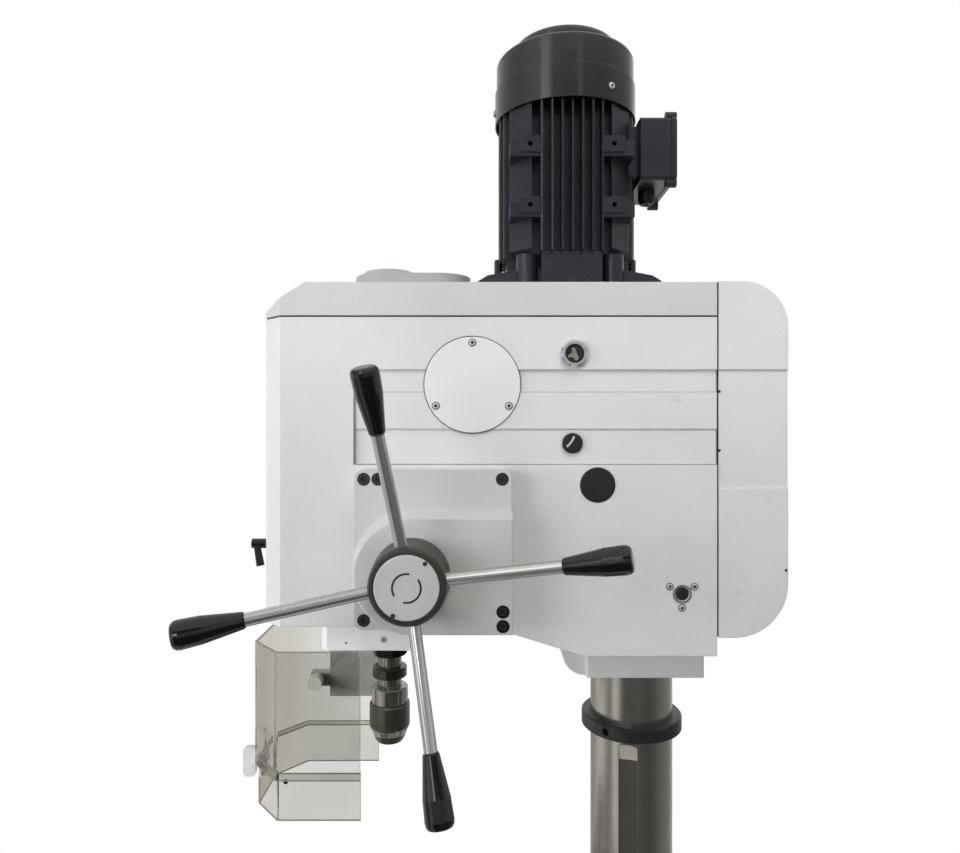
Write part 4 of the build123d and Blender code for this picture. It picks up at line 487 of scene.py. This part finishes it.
finishes["cast_iron"] = steelFinish("castIron", {
    "lineScale": 14.0, "stretch": (60, 2, 2), "stainScale": 9.0, "stainAmount": 0.45,
    "dark": tint(166, 166, 164), "light": tint(188, 188, 185), "stain": tint(140, 136, 128),
    "edgeRadius": 0.0012, "edgeWearAndHighlight": 1.2, "edge": tint(186, 186, 184),
    "rough": (0.34, 0.50), "relief": 0.08, "sockets": {"Metallic": 0.6},
})
finishes["black_plastic"] = plasticFinish("blackPlastic", {
    "flowScale": 22.0, "light": tint(9, 9, 9), "shade": tint(6, 6, 6),
    "rough": (0.08, 0.14), "skinScale": 900.0, "skin": 0.06, "edgeRadius": 0.0008,
})
finishes["matte_black"] = plasticFinish("matteBlack", {
    "flowScale": 30.0, "light": tint(25, 26, 27), "shade": tint(20, 21, 22),
    "rough": (0.42, 0.58), "skinScale": 800.0, "skin": 0.18, "edgeRadius": 0.0008,
})
finishes["grey_plastic"] = plasticFinish("greyPlastic", {
    "flowScale": 26.0, "light": tint(168, 170, 171), "shade": tint(160, 162, 164),
    "rough": (0.40, 0.55), "skinScale": 900.0, "skin": 0.16, "edgeRadius": 0.0012,
})
finishes["white_plastic"] = plasticFinish("whitePlastic", {
    "flowScale": 40.0, "light": tint(248, 248, 247), "shade": tint(243, 243, 241),
    "rough": (0.28, 0.40), "skinScale": 900.0, "skin": 0.05, "edgeRadius": 0.0008,
})
buttonLook = {"flowScale": 60.0, "rough": (0.22, 0.34), "skinScale": 900.0, "skin": 0.05, "edgeRadius": 0.0006}
finishes["green_plastic"] = plasticFinish("greenPlastic", {
    **buttonLook, "light": tint(38, 132, 66), "shade": tint(30, 120, 58)})
finishes["red_plastic"] = plasticFinish("redPlastic", {
    **buttonLook, "light": tint(190, 34, 32), "shade": tint(174, 28, 27)})
clearLook = {
    "hazeScale": 18.0, "hazeStretch": (1, 1, 0.3), "light": tint(221, 221, 217), "shade": tint(211, 211, 207),
    # front: a darker, warmer tint past the front bend, a painted reflection
    "front": tint(205, 201, 192), "frontFrom": (-0.506, -0.478),
    "edgeRadius": 0.0013, "edgeFrost": 7.0, "edge": tint(166, 162, 151), "edgeClear": 0.0,
    "rough": (0.02, 0.08), "bend": 1.16,
}
finishes["clear_plastic"] = clearFinish("clearPlastic", clearLook)
slidePlastic = clearFinish("slidePlastic", {
    **clearLook, "bend": 1.12, "light": tint(207, 207, 203), "shade": tint(199, 199, 194)})
finishes["sight_glass"] = clearFinish("sightGlass", {
    "hazeScale": 60.0, "hazeStretch": (1, 1, 1), "light": tint(210, 209, 196), "shade": tint(200, 198, 184),
    "edgeRadius": 0.0004, "edgeFrost": 2.0, "edge": tint(190, 188, 176), "edgeClear": 0.5,
    "rough": (0.02, 0.08), "bend": 1.3,
})
zincPlate = paintFinish("zincPlate", {
    "cloudScale": 60.0, "light": tint(212, 212, 209), "shade": tint(200, 200, 197),
    "markScale": 200.0, "markFrom": 0.60, "markAmount": 0.4, "mark": tint(140, 138, 130),
    "edgeRadius": 0.0004, "edgeWearAndHighlight": 1.0, "edge": tint(226, 226, 224),
    "rough": (0.25, 0.38), "peelScale": 1500.0, "peel": 0.04,
    "sockets": {"Metallic": 0.4},
})
# painted light: the guard box's grey plastic made nearly white, making up for the weak light inside the guard
boxLitPlastic = plasticFinish("boxLitPlastic", {
    "flowScale": 26.0, "light": tint(240, 240, 238), "shade": tint(232, 232, 230),
    "rough": (0.40, 0.55), "skinScale": 900.0, "skin": 0.12, "edgeRadius": 0.0012,
})
cowlPaint = paintFinish("cowlPaint", {
    "cloudScale": 9.0, "light": tint(46, 47, 49), "shade": tint(41, 42, 45),
    "markScale": 60.0, "markFrom": 0.64, "markAmount": 0.3, "mark": tint(66, 65, 62),
    "edgeRadius": 0.0012, "edgeWearAndHighlight": 1.6, "edge": tint(96, 97, 98),
    "rough": (0.13, 0.20), "peelScale": 520.0, "peel": 0.04,
})
# feed rods: their light and dark streaks are a painted reflection
rodSteel = steelFinish("rodSteel", {
    "rods": {"middle": (-0.2934, 1.3466), "first": 9.5, "lean": 16.0, "scale": 620.0,
             "count": 4.0, "sideShare": 0.2},
    "stainScale": 30.0, "stainAmount": 0.2,
    "dark": tint(92, 90, 84), "light": tint(248, 248, 246), "stain": tint(160, 158, 150),
    "edgeRadius": 0.0005, "edgeWearAndHighlight": 1.0, "edge": tint(232, 232, 230),
    "rough": (0.12, 0.20), "relief": 0.02, "sockets": {"Metallic": 0.8},
})
# steel with lengthwise streaks, a painted reflection, and bands by height
reflectionStreakLook = {
    "lineScale": 300.0, "stretch": (1, 1, 0.02), "stainScale": 40.0, "stainAmount": 0.3,
    "edgeRadius": 0.0004, "edgeWearAndHighlight": 1.2, "edge": tint(200, 198, 190),
    "rough": (0.16, 0.24), "relief": 0.02,
}
# the chuck's body: ground collar, a dull dark nose below
chuckSteel = steelFinish("chuckSteel", {
    **reflectionStreakLook, "dark": tint(84, 83, 79), "light": tint(208, 205, 197), "stain": tint(120, 117, 108),
    "bands": ((1.06, 1.0772, tint(84, 83, 78)),),
})
# the spindle's nose: ground neck, dull ring and a blackened nut above
spindleSteel = steelFinish("spindleSteel", {
    **reflectionStreakLook, "dark": tint(80, 78, 74), "light": tint(186, 183, 174), "stain": tint(120, 116, 106),
    "bands": ((1.1575, 1.1725, tint(78, 77, 71)), (1.1885, 1.2115, tint(36, 36, 34))),
})
# nodes whose look differs from the rest of their slot
ownFinish = {
    "feed_cover": coverPaint, "nose_block": noseLitPaint, "top_cover": lidShadedPaint, "round_cover": discPaint,
    "spindle_cap": capShadedPaint, "fan_cowl": cowlPaint, "guard_box": boxLitPlastic, "guard_slide": slidePlastic,
    "sight_glass_bezel": finishes["bright_steel"], "spindle": spindleSteel, "chuck_body": chuckSteel,
    "feed_rods": rodSteel,
}
for subpart in frame["record"]["subparts"]:
    node = subpart["node"]
    cadNodes[node].material_slots[0].material = ownFinish.get(node, finishes[subpart["material_slot"]])
for node in ("guard_shield", "guard_slide", "sight_glass_lens"):
    cadNodes[node].visible_shadow = False  # clear sheet lets the lamps through
print("finishes on", len(cadNodes), "nodes")


# where a line along a direction first meets a node's surface
def surfaceAt(node, start, direction):
    hit, place = cadNodes[node].ray_cast(start, direction)[:2]
    if not hit:
        raise ValueError("no surface of " + node + " from " + str(tuple(start)))
    return np.array(place)


# the point of a node's right-hand side at a given depth and height
def sideOf(node, y, z):
    return surfaceAt(node, (1.0, y, z), (-1.0, 0.0, 0.0))


# points round a circle on a right-hand side: middle + reach * (cos, sin) of each angle
def sideCircle(node, middle, reach, degrees):
    turns = np.radians(np.array(degrees, float))
    return [sideOf(node, middle[1] + reach * math.cos(t), middle[2] + reach * math.sin(t)) for t in turns]


outwards = (1, 0, 0)


# a rectangle section along a path of points, its ends closed: path + across * side + depth along X
def barGrids(path, side, width, low, high):
    section = [(low, -0.5), (high, -0.5), (high, 0.5), (low, 0.5)]
    rows = [path + across * width * side + np.array((x, 0, 0)) for x, across in section]
    ends = [np.array([[rows[0][i], rows[1][i]], [rows[3][i], rows[2][i]]]) for i in (0, -1)]
    return [(np.array(rows), True, False)] + [(end, False, False) for end in ends]


# a flat band round part of a circle on a right-hand face
def arcBand(face, middle, mark, arc):
    turn = np.radians(np.linspace(arc[0], arc[1], 48))
    outward = np.stack([np.zeros_like(turn), np.cos(turn), np.sin(turn)], -1)
    path = np.array((face, middle[1], middle[2])) + mark["reach"] * outward
    return barGrids(path, outward, mark["width"], -markDepth, mark["proud"])


# light screws of one size on seats of (place, axis), with painted shade round their heads and in their sockets
def lightScrews(name, shadeName, seats, size):
    makePiece(name, [socketHead(place, axis, *size) for place, axis in seats], zincPlate, "stand")
    makePiece(shadeName, sum([screwShade(place, axis, *size) for place, axis in seats], []),
              finishes["matte_black"], "stand")


# three light cap screws that hold the round inspection cover, with painted shade round and in their heads
coverScrew = {"reach": 0.0505, "degrees": (90, 210, 330), "size": (0.0039, 0.0018, 0.0021)}
places = sideCircle("round_cover", middleOf("round_cover"), coverScrew["reach"], coverScrew["degrees"])
lightScrews("coverScrews", "coverScrewShades", [(place, outwards) for place in places], coverScrew["size"])

# painted shade: black linings in the wells of the feed cover's sunk screws, each up to the face about it
coverWell = {"fronts": (-0.351, -0.33475), "rear": -0.191, "high": 1.454, "low": 1.291, "next": 1.30725,
             "inner": 0.0064, "outer": 0.0076, "foot": 0.1925, "below": 0.0003, "beside": 0.009}
wells = [(coverWell["fronts"][0], coverWell["high"]), (coverWell["fronts"][1], coverWell["high"]),
         (coverWell["rear"], coverWell["high"]), (coverWell["fronts"][0], coverWell["low"]),
         (coverWell["rear"], coverWell["low"]), (coverWell["rear"], coverWell["next"])]
coverMid = middleOf("feed_cover")[2]
wellShades = []
for y, z in wells:
    inward = math.copysign(coverWell["beside"], coverMid - z)
    face = sideOf("feed_cover", y - coverWell["beside"], z + inward)[0] - coverWell["below"]
    wellShades.append(flatRing((0, y, z), outwards, coverWell["inner"], coverWell["outer"], coverWell["foot"], face))
makePiece("coverWellShades", wellShades, finishes["matte_black"], "stand")

# heads of the two screws that come up through the feed cover's boss
bossScrew = {"size": (0.0063, 0.006, 0.0031), "sunk": 0.0016}
bossFace = sideOf("feed_cover", coverWell["rear"] - coverWell["beside"], coverWell["next"])[0]
seat = bossFace - bossScrew["sunk"] - bossScrew["size"][1]
makePiece("bossScrews", [
    socketHead((seat, coverWell["rear"], z), outwards, *bossScrew["size"])
    for z in (coverWell["low"], coverWell["next"])
], finishes["black_oxide"], "stand")

# painted shade: a dark strip on the step at the front end of the bands and thin dark lines along two of their edges
bandStepShade = {"front": (-0.3683, -0.3660), "low": 1.4694, "high": 1.5826, "face": 0.1702, "foot": 0.1690,
            "edges": (1.4697, 1.5563), "edgeWidth": 0.0006, "edgeFoot": 0.1660, "edgeFace": 0.1674,
            "edgeGap": 0.0005, "rear": 0.066}
shadeFront, shadeRear = bandStepShade["front"]
upright = np.array([(0, (shadeFront + shadeRear) / 2, z) for z in np.linspace(bandStepShade["low"], bandStepShade["high"], 8)])
stepShades = barGrids(upright, np.array((0.0, 1.0, 0.0)), shadeRear - shadeFront, bandStepShade["foot"], bandStepShade["face"])
for z in bandStepShade["edges"]:
    level = np.array([(0, y, z) for y in np.linspace(shadeRear + bandStepShade["edgeGap"], bandStepShade["rear"], 8)])
    stepShades += barGrids(level, np.array((0.0, 0.0, 1.0)), bandStepShade["edgeWidth"],
                     bandStepShade["edgeFoot"], bandStepShade["edgeFace"])
makePiece("bandStepShade", stepShades, stepShadePaint, "stand")

# painted shade: a dark ring in the gap round the inspection cover
coverGapShade = {"inner": 0.05755, "outer": 0.05835, "foot": 0.1662, "face": 0.1686}
coverMiddle = middleOf("round_cover")
makePiece("coverGapShade", [flatRing((0, coverMiddle[1], coverMiddle[2]), outwards, coverGapShade["inner"], coverGapShade["outer"],
                                coverGapShade["foot"], coverGapShade["face"], 128)],
          finishes["matte_black"], "stand")

# painted shade: a dark strip in the groove under the lid, a rectangle carried round the head's outline
lidGrooveShade = {"half": 0.170, "front": -0.480, "rear": 0.067, "corner": 0.024, "floor": 0.0031, "face": 0.0008,
           "foot": 1.6460, "head": 1.6473}
loops = []
for z, inset in ((lidGrooveShade["foot"], lidGrooveShade["floor"]), (lidGrooveShade["foot"], lidGrooveShade["face"]),
                 (lidGrooveShade["head"], lidGrooveShade["face"]), (lidGrooveShade["head"], lidGrooveShade["floor"])):
    half, front, rear = lidGrooveShade["half"] - inset, lidGrooveShade["front"] + inset, lidGrooveShade["rear"] - inset
    cut = lidGrooveShade["corner"]
    loops.append([(-half, rear, z), (-half, front + cut, z), (-half + cut, front, z),
                  (half - cut, front, z), (half, front + cut, z), (half, rear, z)])
makePiece("lidGrooveShade", [(np.array(loops), True, True)], finishes["matte_black"], "stand")

# painted shade: a dark strip in the groove between the head and the rear cabinet, a rectangle carried round the
# opening
cabinetShade = {"front": 0.0671, "rear": 0.0688, "floor": 0.0028, "face": 0.0016}
grooveLow, grooveHigh = lowOf("rear_cabinet"), highOf("rear_cabinet")
loops = []
for y, inset in ((cabinetShade["front"], cabinetShade["floor"]), (cabinetShade["front"], cabinetShade["face"]),
                 (cabinetShade["rear"], cabinetShade["face"]), (cabinetShade["rear"], cabinetShade["floor"])):
    left, right, foot, top = grooveLow[0] + inset, grooveHigh[0] - inset, grooveLow[2] + inset, grooveHigh[2] - inset
    loops.append([(left, y, foot), (right, y, foot), (right, y, top), (left, y, top)])
makePiece("cabinetGrooveShade", [(np.array(loops), True, True)], finishes["matte_black"], "stand")

# behind the oil sight glass: a dark disc, painted shade for the unlit inside, and a light three-bladed reflector, each
# blade a smooth bump of the reach
sight = {"shadeReach": 0.0097, "backLow": 0.1662, "backHigh": 0.1672, "starLow": 0.1672, "starHigh": 0.1692,
         "core": 0.0034, "reach": 0.0086, "blades": ((96, 26), (206, 26), (296, 36))}
sightMiddle = middleOf("sight_glass_lens")
sightPlace = (0, sightMiddle[1], sightMiddle[2])


def starReach(angle):
    degrees = np.degrees(angle)[:, None]
    turns, widths = np.array(sight["blades"], float).T
    away = np.mod(degrees - turns + 180, 360) - 180
    bump = np.exp(-(away / widths) ** 2).max(axis=1)
    return (sight["core"] + (sight["reach"] - sight["core"]) * bump) / sight["reach"]


# painted shade: a dark disc behind the star, for the unlit inside of the head
makePiece("sightShade", [flatDisc(sightPlace, outwards, sight["shadeReach"], sight["backLow"], sight["backHigh"])],
          finishes["matte_black"], "stand")
starGrid = flatDisc(sightPlace, outwards, sight["reach"], sight["starLow"], sight["starHigh"], 96, starReach)
makePiece("sightStar", [starGrid], finishes["panel_grey"], "stand")

# a bright curved band across the small plug's face
brightArc = {"middle": (0, -0.132, 1.5134), "reach": 0.0295, "width": 0.0024, "proud": 0.0002, "arc": (-20, -50),
          "faceAt": (-0.106, 1.495)}
arcFace = sideOf("bore_plugs", *brightArc["faceAt"])[0]
makePiece("plugBrightArc", arcBand(arcFace, brightArc["middle"], brightArc, brightArc["arc"]),
          finishes["cap_silver"], "stand")

# pivot bush of the rear foot of the head: a light ring and its three screws, with painted shade round and in their
# heads
bush = {"middle": (0, 0.025, 1.315), "inner": 0.009, "outer": 0.0114, "proud": 0.0016, "shoulder": 0.7,
        "round": 0.0005, "reach": 0.017, "degrees": (30, 150, 270), "size": (0.0037, 0.0016, 0.0019)}
bushFace = sideOf("head_casting", bush["middle"][1] + bush["reach"], bush["middle"][2])
bushPlace = (bushFace[0], bush["middle"][1], bush["middle"][2])
makePiece("pivotBush", [spunGrid([
    (-seatDepth, bush["inner"]), (-seatDepth, bush["outer"]), (bush["proud"] * bush["shoulder"], bush["outer"]),
    (bush["proud"], bush["outer"] - bush["round"]), (bush["proud"], bush["inner"]), (-seatDepth, bush["inner"]),
], bushPlace, outwards, 64)], finishes["bright_steel"], "stand")
places = sideCircle("head_casting", bush["middle"], bush["reach"], bush["degrees"])
lightScrews("bushScrews", "bushScrewShades", [(place, outwards) for place in places], bush["size"])

# countersunk screws of the rear cabinet's side
cabinetScrew = {"places": ((0.0702, 1.5569), (0.0702, 1.4863), (0.1495, 1.343)), "size": (0.0017, 0.0006, 0.0008)}
makePiece("cabinetScrews", [
    socketHead(sideOf("rear_cabinet", *place), outwards, *cabinetScrew["size"]) for place in cabinetScrew["places"]
], finishes["black_oxide"], "stand")

# the fan cowl's three screws, a third of a turn apart round the motor, with painted shade round and in their heads
cowlScrew = {"height": 1.963, "degrees": (31, 151, 271), "size": (0.0045, 0.003, 0.0022), "outside": 0.3}
motorMiddle = middleOf("fan_cowl")
seats = []
for degrees in cowlScrew["degrees"]:
    outward = np.array((math.cos(math.radians(degrees)), math.sin(math.radians(degrees)), 0.0))
    start = np.array((motorMiddle[0], motorMiddle[1], cowlScrew["height"])) + cowlScrew["outside"] * outward
    seats.append((surfaceAt("fan_cowl", start, -outward), outward))
lightScrews("cowlScrews", "cowlScrewShades", seats, cowlScrew["size"])

# two studs through the motor flange
motorStud = {"across": 0.0067, "spread": 0.0955, "above": 3.0, "flats": 0.0094, "height": 0.03, "washer": 0.009}
studs = []
for way in (-1, 1):
    start = (motorStud["across"], motorMiddle[1] + way * motorStud["spread"], motorStud["above"])
    top = surfaceAt("motor_flange", start, (0, 0, -1))
    studs.append(hexHead(top, (0, 0, 1), motorStud["flats"], motorStud["height"], motorStud["washer"]))
makePiece("motorStuds", studs, finishes["black_oxide"], "stand")

# screws of the quill nose block, the light one with painted shade round and in its head
noseScrew = {"pin": (-0.3979, 1.2224), "pinSize": (0.0013, 0.0008, 0.0006),
             "screw": (-0.3472, 1.227), "screwSize": (0.0032, 0.0014, 0.0016)}
pinSeat = sideOf("nose_block", *noseScrew["pin"])
makePiece("nosePin", [socketHead(pinSeat, outwards, *noseScrew["pinSize"])],
          finishes["black_oxide"], "stand")
screwSeat = sideOf("nose_block", *noseScrew["screw"])
lightScrews("noseScrew", "noseScrewShade", [(screwSeat, outwards)], noseScrew["screwSize"])

# two arc marks and dark pins on the hub's cap
capMark = {"reach": 0.015, "width": 0.0019, "proud": 0.0003, "arcs": ((78, 212), (37, -103))}
capPin = {"reach": 0.032, "degrees": (52.8, 244.0), "size": (0.0024, 0.0008, 0.0012)}
capMiddle = middleOf("hub_cap")
capFace = highOf("hub_cap")[0]
makePiece("capMarks", sum([arcBand(capFace, capMiddle, capMark, arc) for arc in capMark["arcs"]], []),
          finishes["matte_black"], "feed")
pins = []
for turn in np.radians(np.array(capPin["degrees"])):
    y, z = capMiddle[1] + capPin["reach"] * math.cos(turn), capMiddle[2] + capPin["reach"] * math.sin(turn)
    pins.append(socketHead((capFace, y, z), outwards, *capPin["size"]))
makePiece("capPins", pins, finishes["black_oxide"], "feed")

# black stop button on the inner face of the sliding lower shield, clear of the upper one
guardStop = {"place": (-0.4735, 1.0455), "radius": 0.0031, "height": 0.0035, "gap": 0.0002,
             "rounding": ((0.6, 1.0), (0.9, 0.8), (1.0, 0.4))}
stopPlace = surfaceAt("guard_slide", (0.0, *guardStop["place"]), outwards)
rounding = [(guardStop["height"] * high, guardStop["radius"] * wide) for high, wide in guardStop["rounding"]]
makePiece("guardStop", [spunGrid([
    (guardStop["gap"], 0), (guardStop["gap"], guardStop["radius"]), *rounding, (guardStop["height"], 0),
], stopPlace, (-1, 0, 0), 32)], finishes["black_plastic"], "guard_slide")
print("screws, marks and pins made")

# plain pale floor: lit near the machine, white to the camera and to mirrors further out
floorLook = {"lift": 0.6, "half": 12.0, "pale": (0.82, 0.82, 0.82), "litTo": 0.9, "whiteFrom": 1.5}


def litOrWhite(tree, lit, white):
    ray = tree.nodes.new("ShaderNodeLightPath")
    seen = combine(tree, "MAXIMUM", ray.outputs["Is Camera Ray"], ray.outputs["Is Glossy Ray"])
    seen = combine(tree, "MAXIMUM", seen, ray.outputs["Is Transmission Ray"])
    mix = tree.nodes.new("ShaderNodeMixShader")
    tree.links.new(lit, mix.inputs[1])
    tree.links.new(white, mix.inputs[2])
    return seen, mix


# a bare object of the stage and its finish
def stageObject(name, points, faces, finish):
    mesh = bpy.data.meshes.new(name)
    mesh.from_pydata(points, [], faces)
    mesh.materials.append(finish)
    thing = bpy.data.objects.new(name, mesh)
    bpy.context.scene.collection.objects.link(thing)
    return thing


floorFinish, floorTree, floorShader = startFinish("paleFloor")
floorTree.nodes.remove(floorShader)
paleLit = floorTree.nodes.new("ShaderNodeBsdfDiffuse")
paleLit.inputs["Color"].default_value = (*floorLook["pale"], 1)
paleGlow = floorTree.nodes.new("ShaderNodeEmission")
seen, floorMix = litOrWhite(floorTree, paleLit.outputs[0], paleGlow.outputs[0])
floorPlace = floorTree.nodes.new("ShaderNodeTexCoord")
fromBase = floorTree.nodes.new("ShaderNodeVectorMath")
fromBase.operation = "LENGTH"
floorTree.links.new(floorPlace.outputs["Object"], fromBase.inputs[0])
outer = spread(floorTree, fromBase.outputs["Value"], floorLook["litTo"], floorLook["whiteFrom"], floorLook["lift"], 1)
floorTree.links.new(combine(floorTree, "MULTIPLY", seen, outer), floorMix.inputs[0])
floorTree.links.new(floorMix.outputs[0], floorTree.nodes["Material Output"].inputs["Surface"])
half = floorLook["half"]
floorCorners = [(-half, -half, 0), (half, -half, 0), (half, half, 0), (-half, half, 0)]
floor = stageObject("floor", floorCorners, [(0, 1, 2, 3)], floorFinish)

# the studio round the machine, seen only in polished metal: a bowl with bright strips and dark cards by compass angle
studio = {"profile": ((0.6, 0.012), (4.0, 0.012), (4.0, 4.2)), "steps": 72, "rise": (1.0, 1.7),
          "belt": 0.4, "beltFoot": (0.5, 0.9), "beltHead": (2.4, 2.9),
          "shades": ((-180, 0.40), (-141, 0.38), (-124, 0.62), (-112, 0.80), (-98, 0.80), (-86, 0.50), (-77, 0.28),
                     (-67, 0.32), (-59, 0.90), (-49, 0.70), (-39, 0.15), (-30, 0.10), (-10, 0.09), (8, 0.12),
                     (36, 0.08), (54, 0.11), (76, 0.20), (101, 0.26), (120, 0.34), (150, 0.70), (180, 0.40)),
          "upperFrom": (1.7, 2.6),
          "upper": ((-180, 0.40), (-150, 0.45), (-120, 0.36), (-105, 0.26), (-80, 0.20), (-66, 0.34), (-58, 0.44),
                    (-52, 0.36), (-47, 0.34), (-43, 1.45), (-33, 1.45), (-28, 0.16), (-10, 0.09), (12, 0.09),
                    (15, 0.50), (18, 0.50), (21, 0.08), (36, 0.08), (54, 0.11), (76, 0.20), (101, 0.22),
                    (120, 0.28), (150, 0.70), (180, 0.40))}
wallFinish, wallTree, wallShader = startFinish("studioCards")
wallTree.nodes.remove(wallShader)
wallGlow = wallTree.nodes.new("ShaderNodeEmission")
compass = combine(wallTree, "ARCTAN2", along(wallTree, "Y"), along(wallTree, "X"))


def cardRamp(tree, angle, shades):
    ramp = tree.nodes.new("ShaderNodeValToRGB")
    tree.links.new(spread(tree, angle, -math.pi, math.pi, 0, 1), ramp.inputs["Fac"])
    for index, (degrees, shade) in enumerate(shades):
        stop = ramp.color_ramp.elements[index] if index < 2 else ramp.color_ramp.elements.new(1.0)
        stop.position = (degrees + 180) / 360
        stop.color = (shade, shade, shade, 1)
    return ramp.outputs["Color"]


cards = blendColours(wallTree, spread(wallTree, along(wallTree, "Z"), *studio["upperFrom"], 0, 1),
                     cardRamp(wallTree, compass, studio["shades"]), cardRamp(wallTree, compass, studio["upper"]))
higher = spread(wallTree, along(wallTree, "Z"), 0.0, studio["profile"][-1][1], *studio["rise"])
belt = combine(wallTree, "MULTIPLY", spread(wallTree, along(wallTree, "Z"), *studio["beltFoot"], 0, 1),
               spread(wallTree, along(wallTree, "Z"), *studio["beltHead"], 1, 0))
level = combine(wallTree, "ADD", combine(wallTree, "MULTIPLY", cards, higher),
                combine(wallTree, "MULTIPLY", belt, studio["belt"]))
wallTree.links.new(level, wallGlow.inputs["Strength"])
wallTree.links.new(wallGlow.outputs[0], wallTree.nodes["Material Output"].inputs["Surface"])
wallProfile = [(height, reach) for reach, height in studio["profile"]]
wallGrid = spunGrid(wallProfile, (0, 0, 0), (0, 0, 1), studio["steps"])[0]
wallQuads = gridQuads(studio["steps"], len(wallProfile), True, False)
wall = stageObject("studioWall", wallGrid.reshape(-1, 3).tolist(), wallQuads.tolist(), wallFinish)
for ray in ("camera", "diffuse", "transmission", "shadow"):
    setattr(wall, "visible_" + ray, False)

# world: white behind the machine, soft grey light on its surfaces
worldLook = {"soft": (1.0, 0.972, 0.935), "softLevel": 0.185}
world = bpy.data.worlds.new("studio")
bpy.context.scene.world = world
world.use_nodes = True
worldTree = world.node_tree
soft = worldTree.nodes["Background"]
soft.inputs["Color"].default_value = (*worldLook["soft"], 1)
soft.inputs["Strength"].default_value = worldLook["softLevel"]
plain = worldTree.nodes.new("ShaderNodeBackground")
plain.inputs["Color"].default_value = (1, 1, 1, 1)
seen, worldMix = litOrWhite(worldTree, soft.outputs[0], plain.outputs[0])
worldTree.links.new(seen, worldMix.inputs[0])
worldTree.links.new(worldMix.outputs[0], worldTree.nodes["World Output"].inputs["Surface"])

# soft lamps: a key and a front lamp ahead, a top light, fills from the rear, from below, on the left and at the base,
# and a small one for the sheen
lamps = {
    "keyLamp": {"place": (2.0, -2.0, 1.9), "aim": (0.1, -0.2, 1.78), "size": 1.4, "spread": 60, "power": 2.9,
                "tone": (0.96, 0.985, 1.04)},
    "frontLamp": {"place": (0.9, -3.0, 1.8), "aim": (0.0, -0.4, 1.45), "size": 1.2, "spread": 60, "power": 4.4,
                  "tone": (0.99, 1.0, 1.01)},
    "topLamp": {"place": (1.0, 0.2, 2.8), "aim": (0.1, 0.12, 1.6), "size": 1.2, "spread": 90, "power": 4.8,
                "tone": (1.0, 0.985, 0.955)},
    "rearLamp": {"place": (2.4, 2.6, 2.2), "aim": (0, 0, 1.7), "size": 2.0, "spread": 60, "power": 1.6,
                 "tone": (1.0, 0.97, 0.92)},
    "lowLamp": {"place": (1.7, -1.3, 0.3), "aim": (0, -0.4, 1.15), "size": 1.2, "spread": 60, "power": 0.65,
                "tone": (1.0, 0.97, 0.93)},
    "leftLamp": {"place": (-2.3, 0.9, 1.8), "aim": (0.0, 0.0, 1.2), "size": 1.6, "spread": 90, "power": 11.0,
                 "tone": (1.0, 0.99, 0.97)},
    "baseLamp": {"place": (1.4, -2.0, 0.9), "aim": (0.0, -0.2, 0.2), "size": 1.0, "spread": 50, "power": 1.8,
                 "tone": (1.0, 0.99, 0.97)},
    "sheenLamp": {"place": (2.0, -0.73, 1.82), "aim": (0.17, -0.38, 1.61), "size": 0.5, "spread": 60, "power": 0.4,
                  "tone": (0.94, 0.98, 1.05), "sheen": True},
}


def aimed(place, aim):
    axis, side, up = squareTo(np.array(place, float) - np.array(aim, float))
    turned = np.eye(4)
    turned[:3, 0], turned[:3, 1], turned[:3, 2], turned[:3, 3] = side, up, axis, place
    return turned


for name, lamp in lamps.items():
    light = bpy.data.lights.new(name, "AREA")
    light.shape = "DISK"
    light.size = lamp["size"]
    light.spread = math.radians(lamp["spread"])
    light.energy = lamp["power"]
    light.color = lamp["tone"]
    holder = bpy.data.objects.new(name, light)
    holder.matrix_world = Matrix(aimed(lamp["place"], lamp["aim"]).tolist())
    holder.visible_glossy = "sheen" in lamp  # one lamp is met only in gloss, the others only in matt light
    holder.visible_diffuse = "sheen" not in lamp
    holder.visible_transmission = False
    bpy.context.scene.collection.objects.link(holder)
bpy.context.scene.view_settings.view_transform = "Standard"

# level camera square to the right-hand side
view = {"place": (1.0177, -0.2168, 1.515), "lens": 26.57}
camera = bpy.data.objects.new("camera", bpy.data.cameras.new("camera"))
camera.location = view["place"]
camera.rotation_euler = (math.pi / 2, 0, math.pi / 2)
camera.data.lens = view["lens"]
bpy.context.scene.collection.objects.link(camera)
bpy.context.scene.camera = camera
print("stage, lamps and camera set")
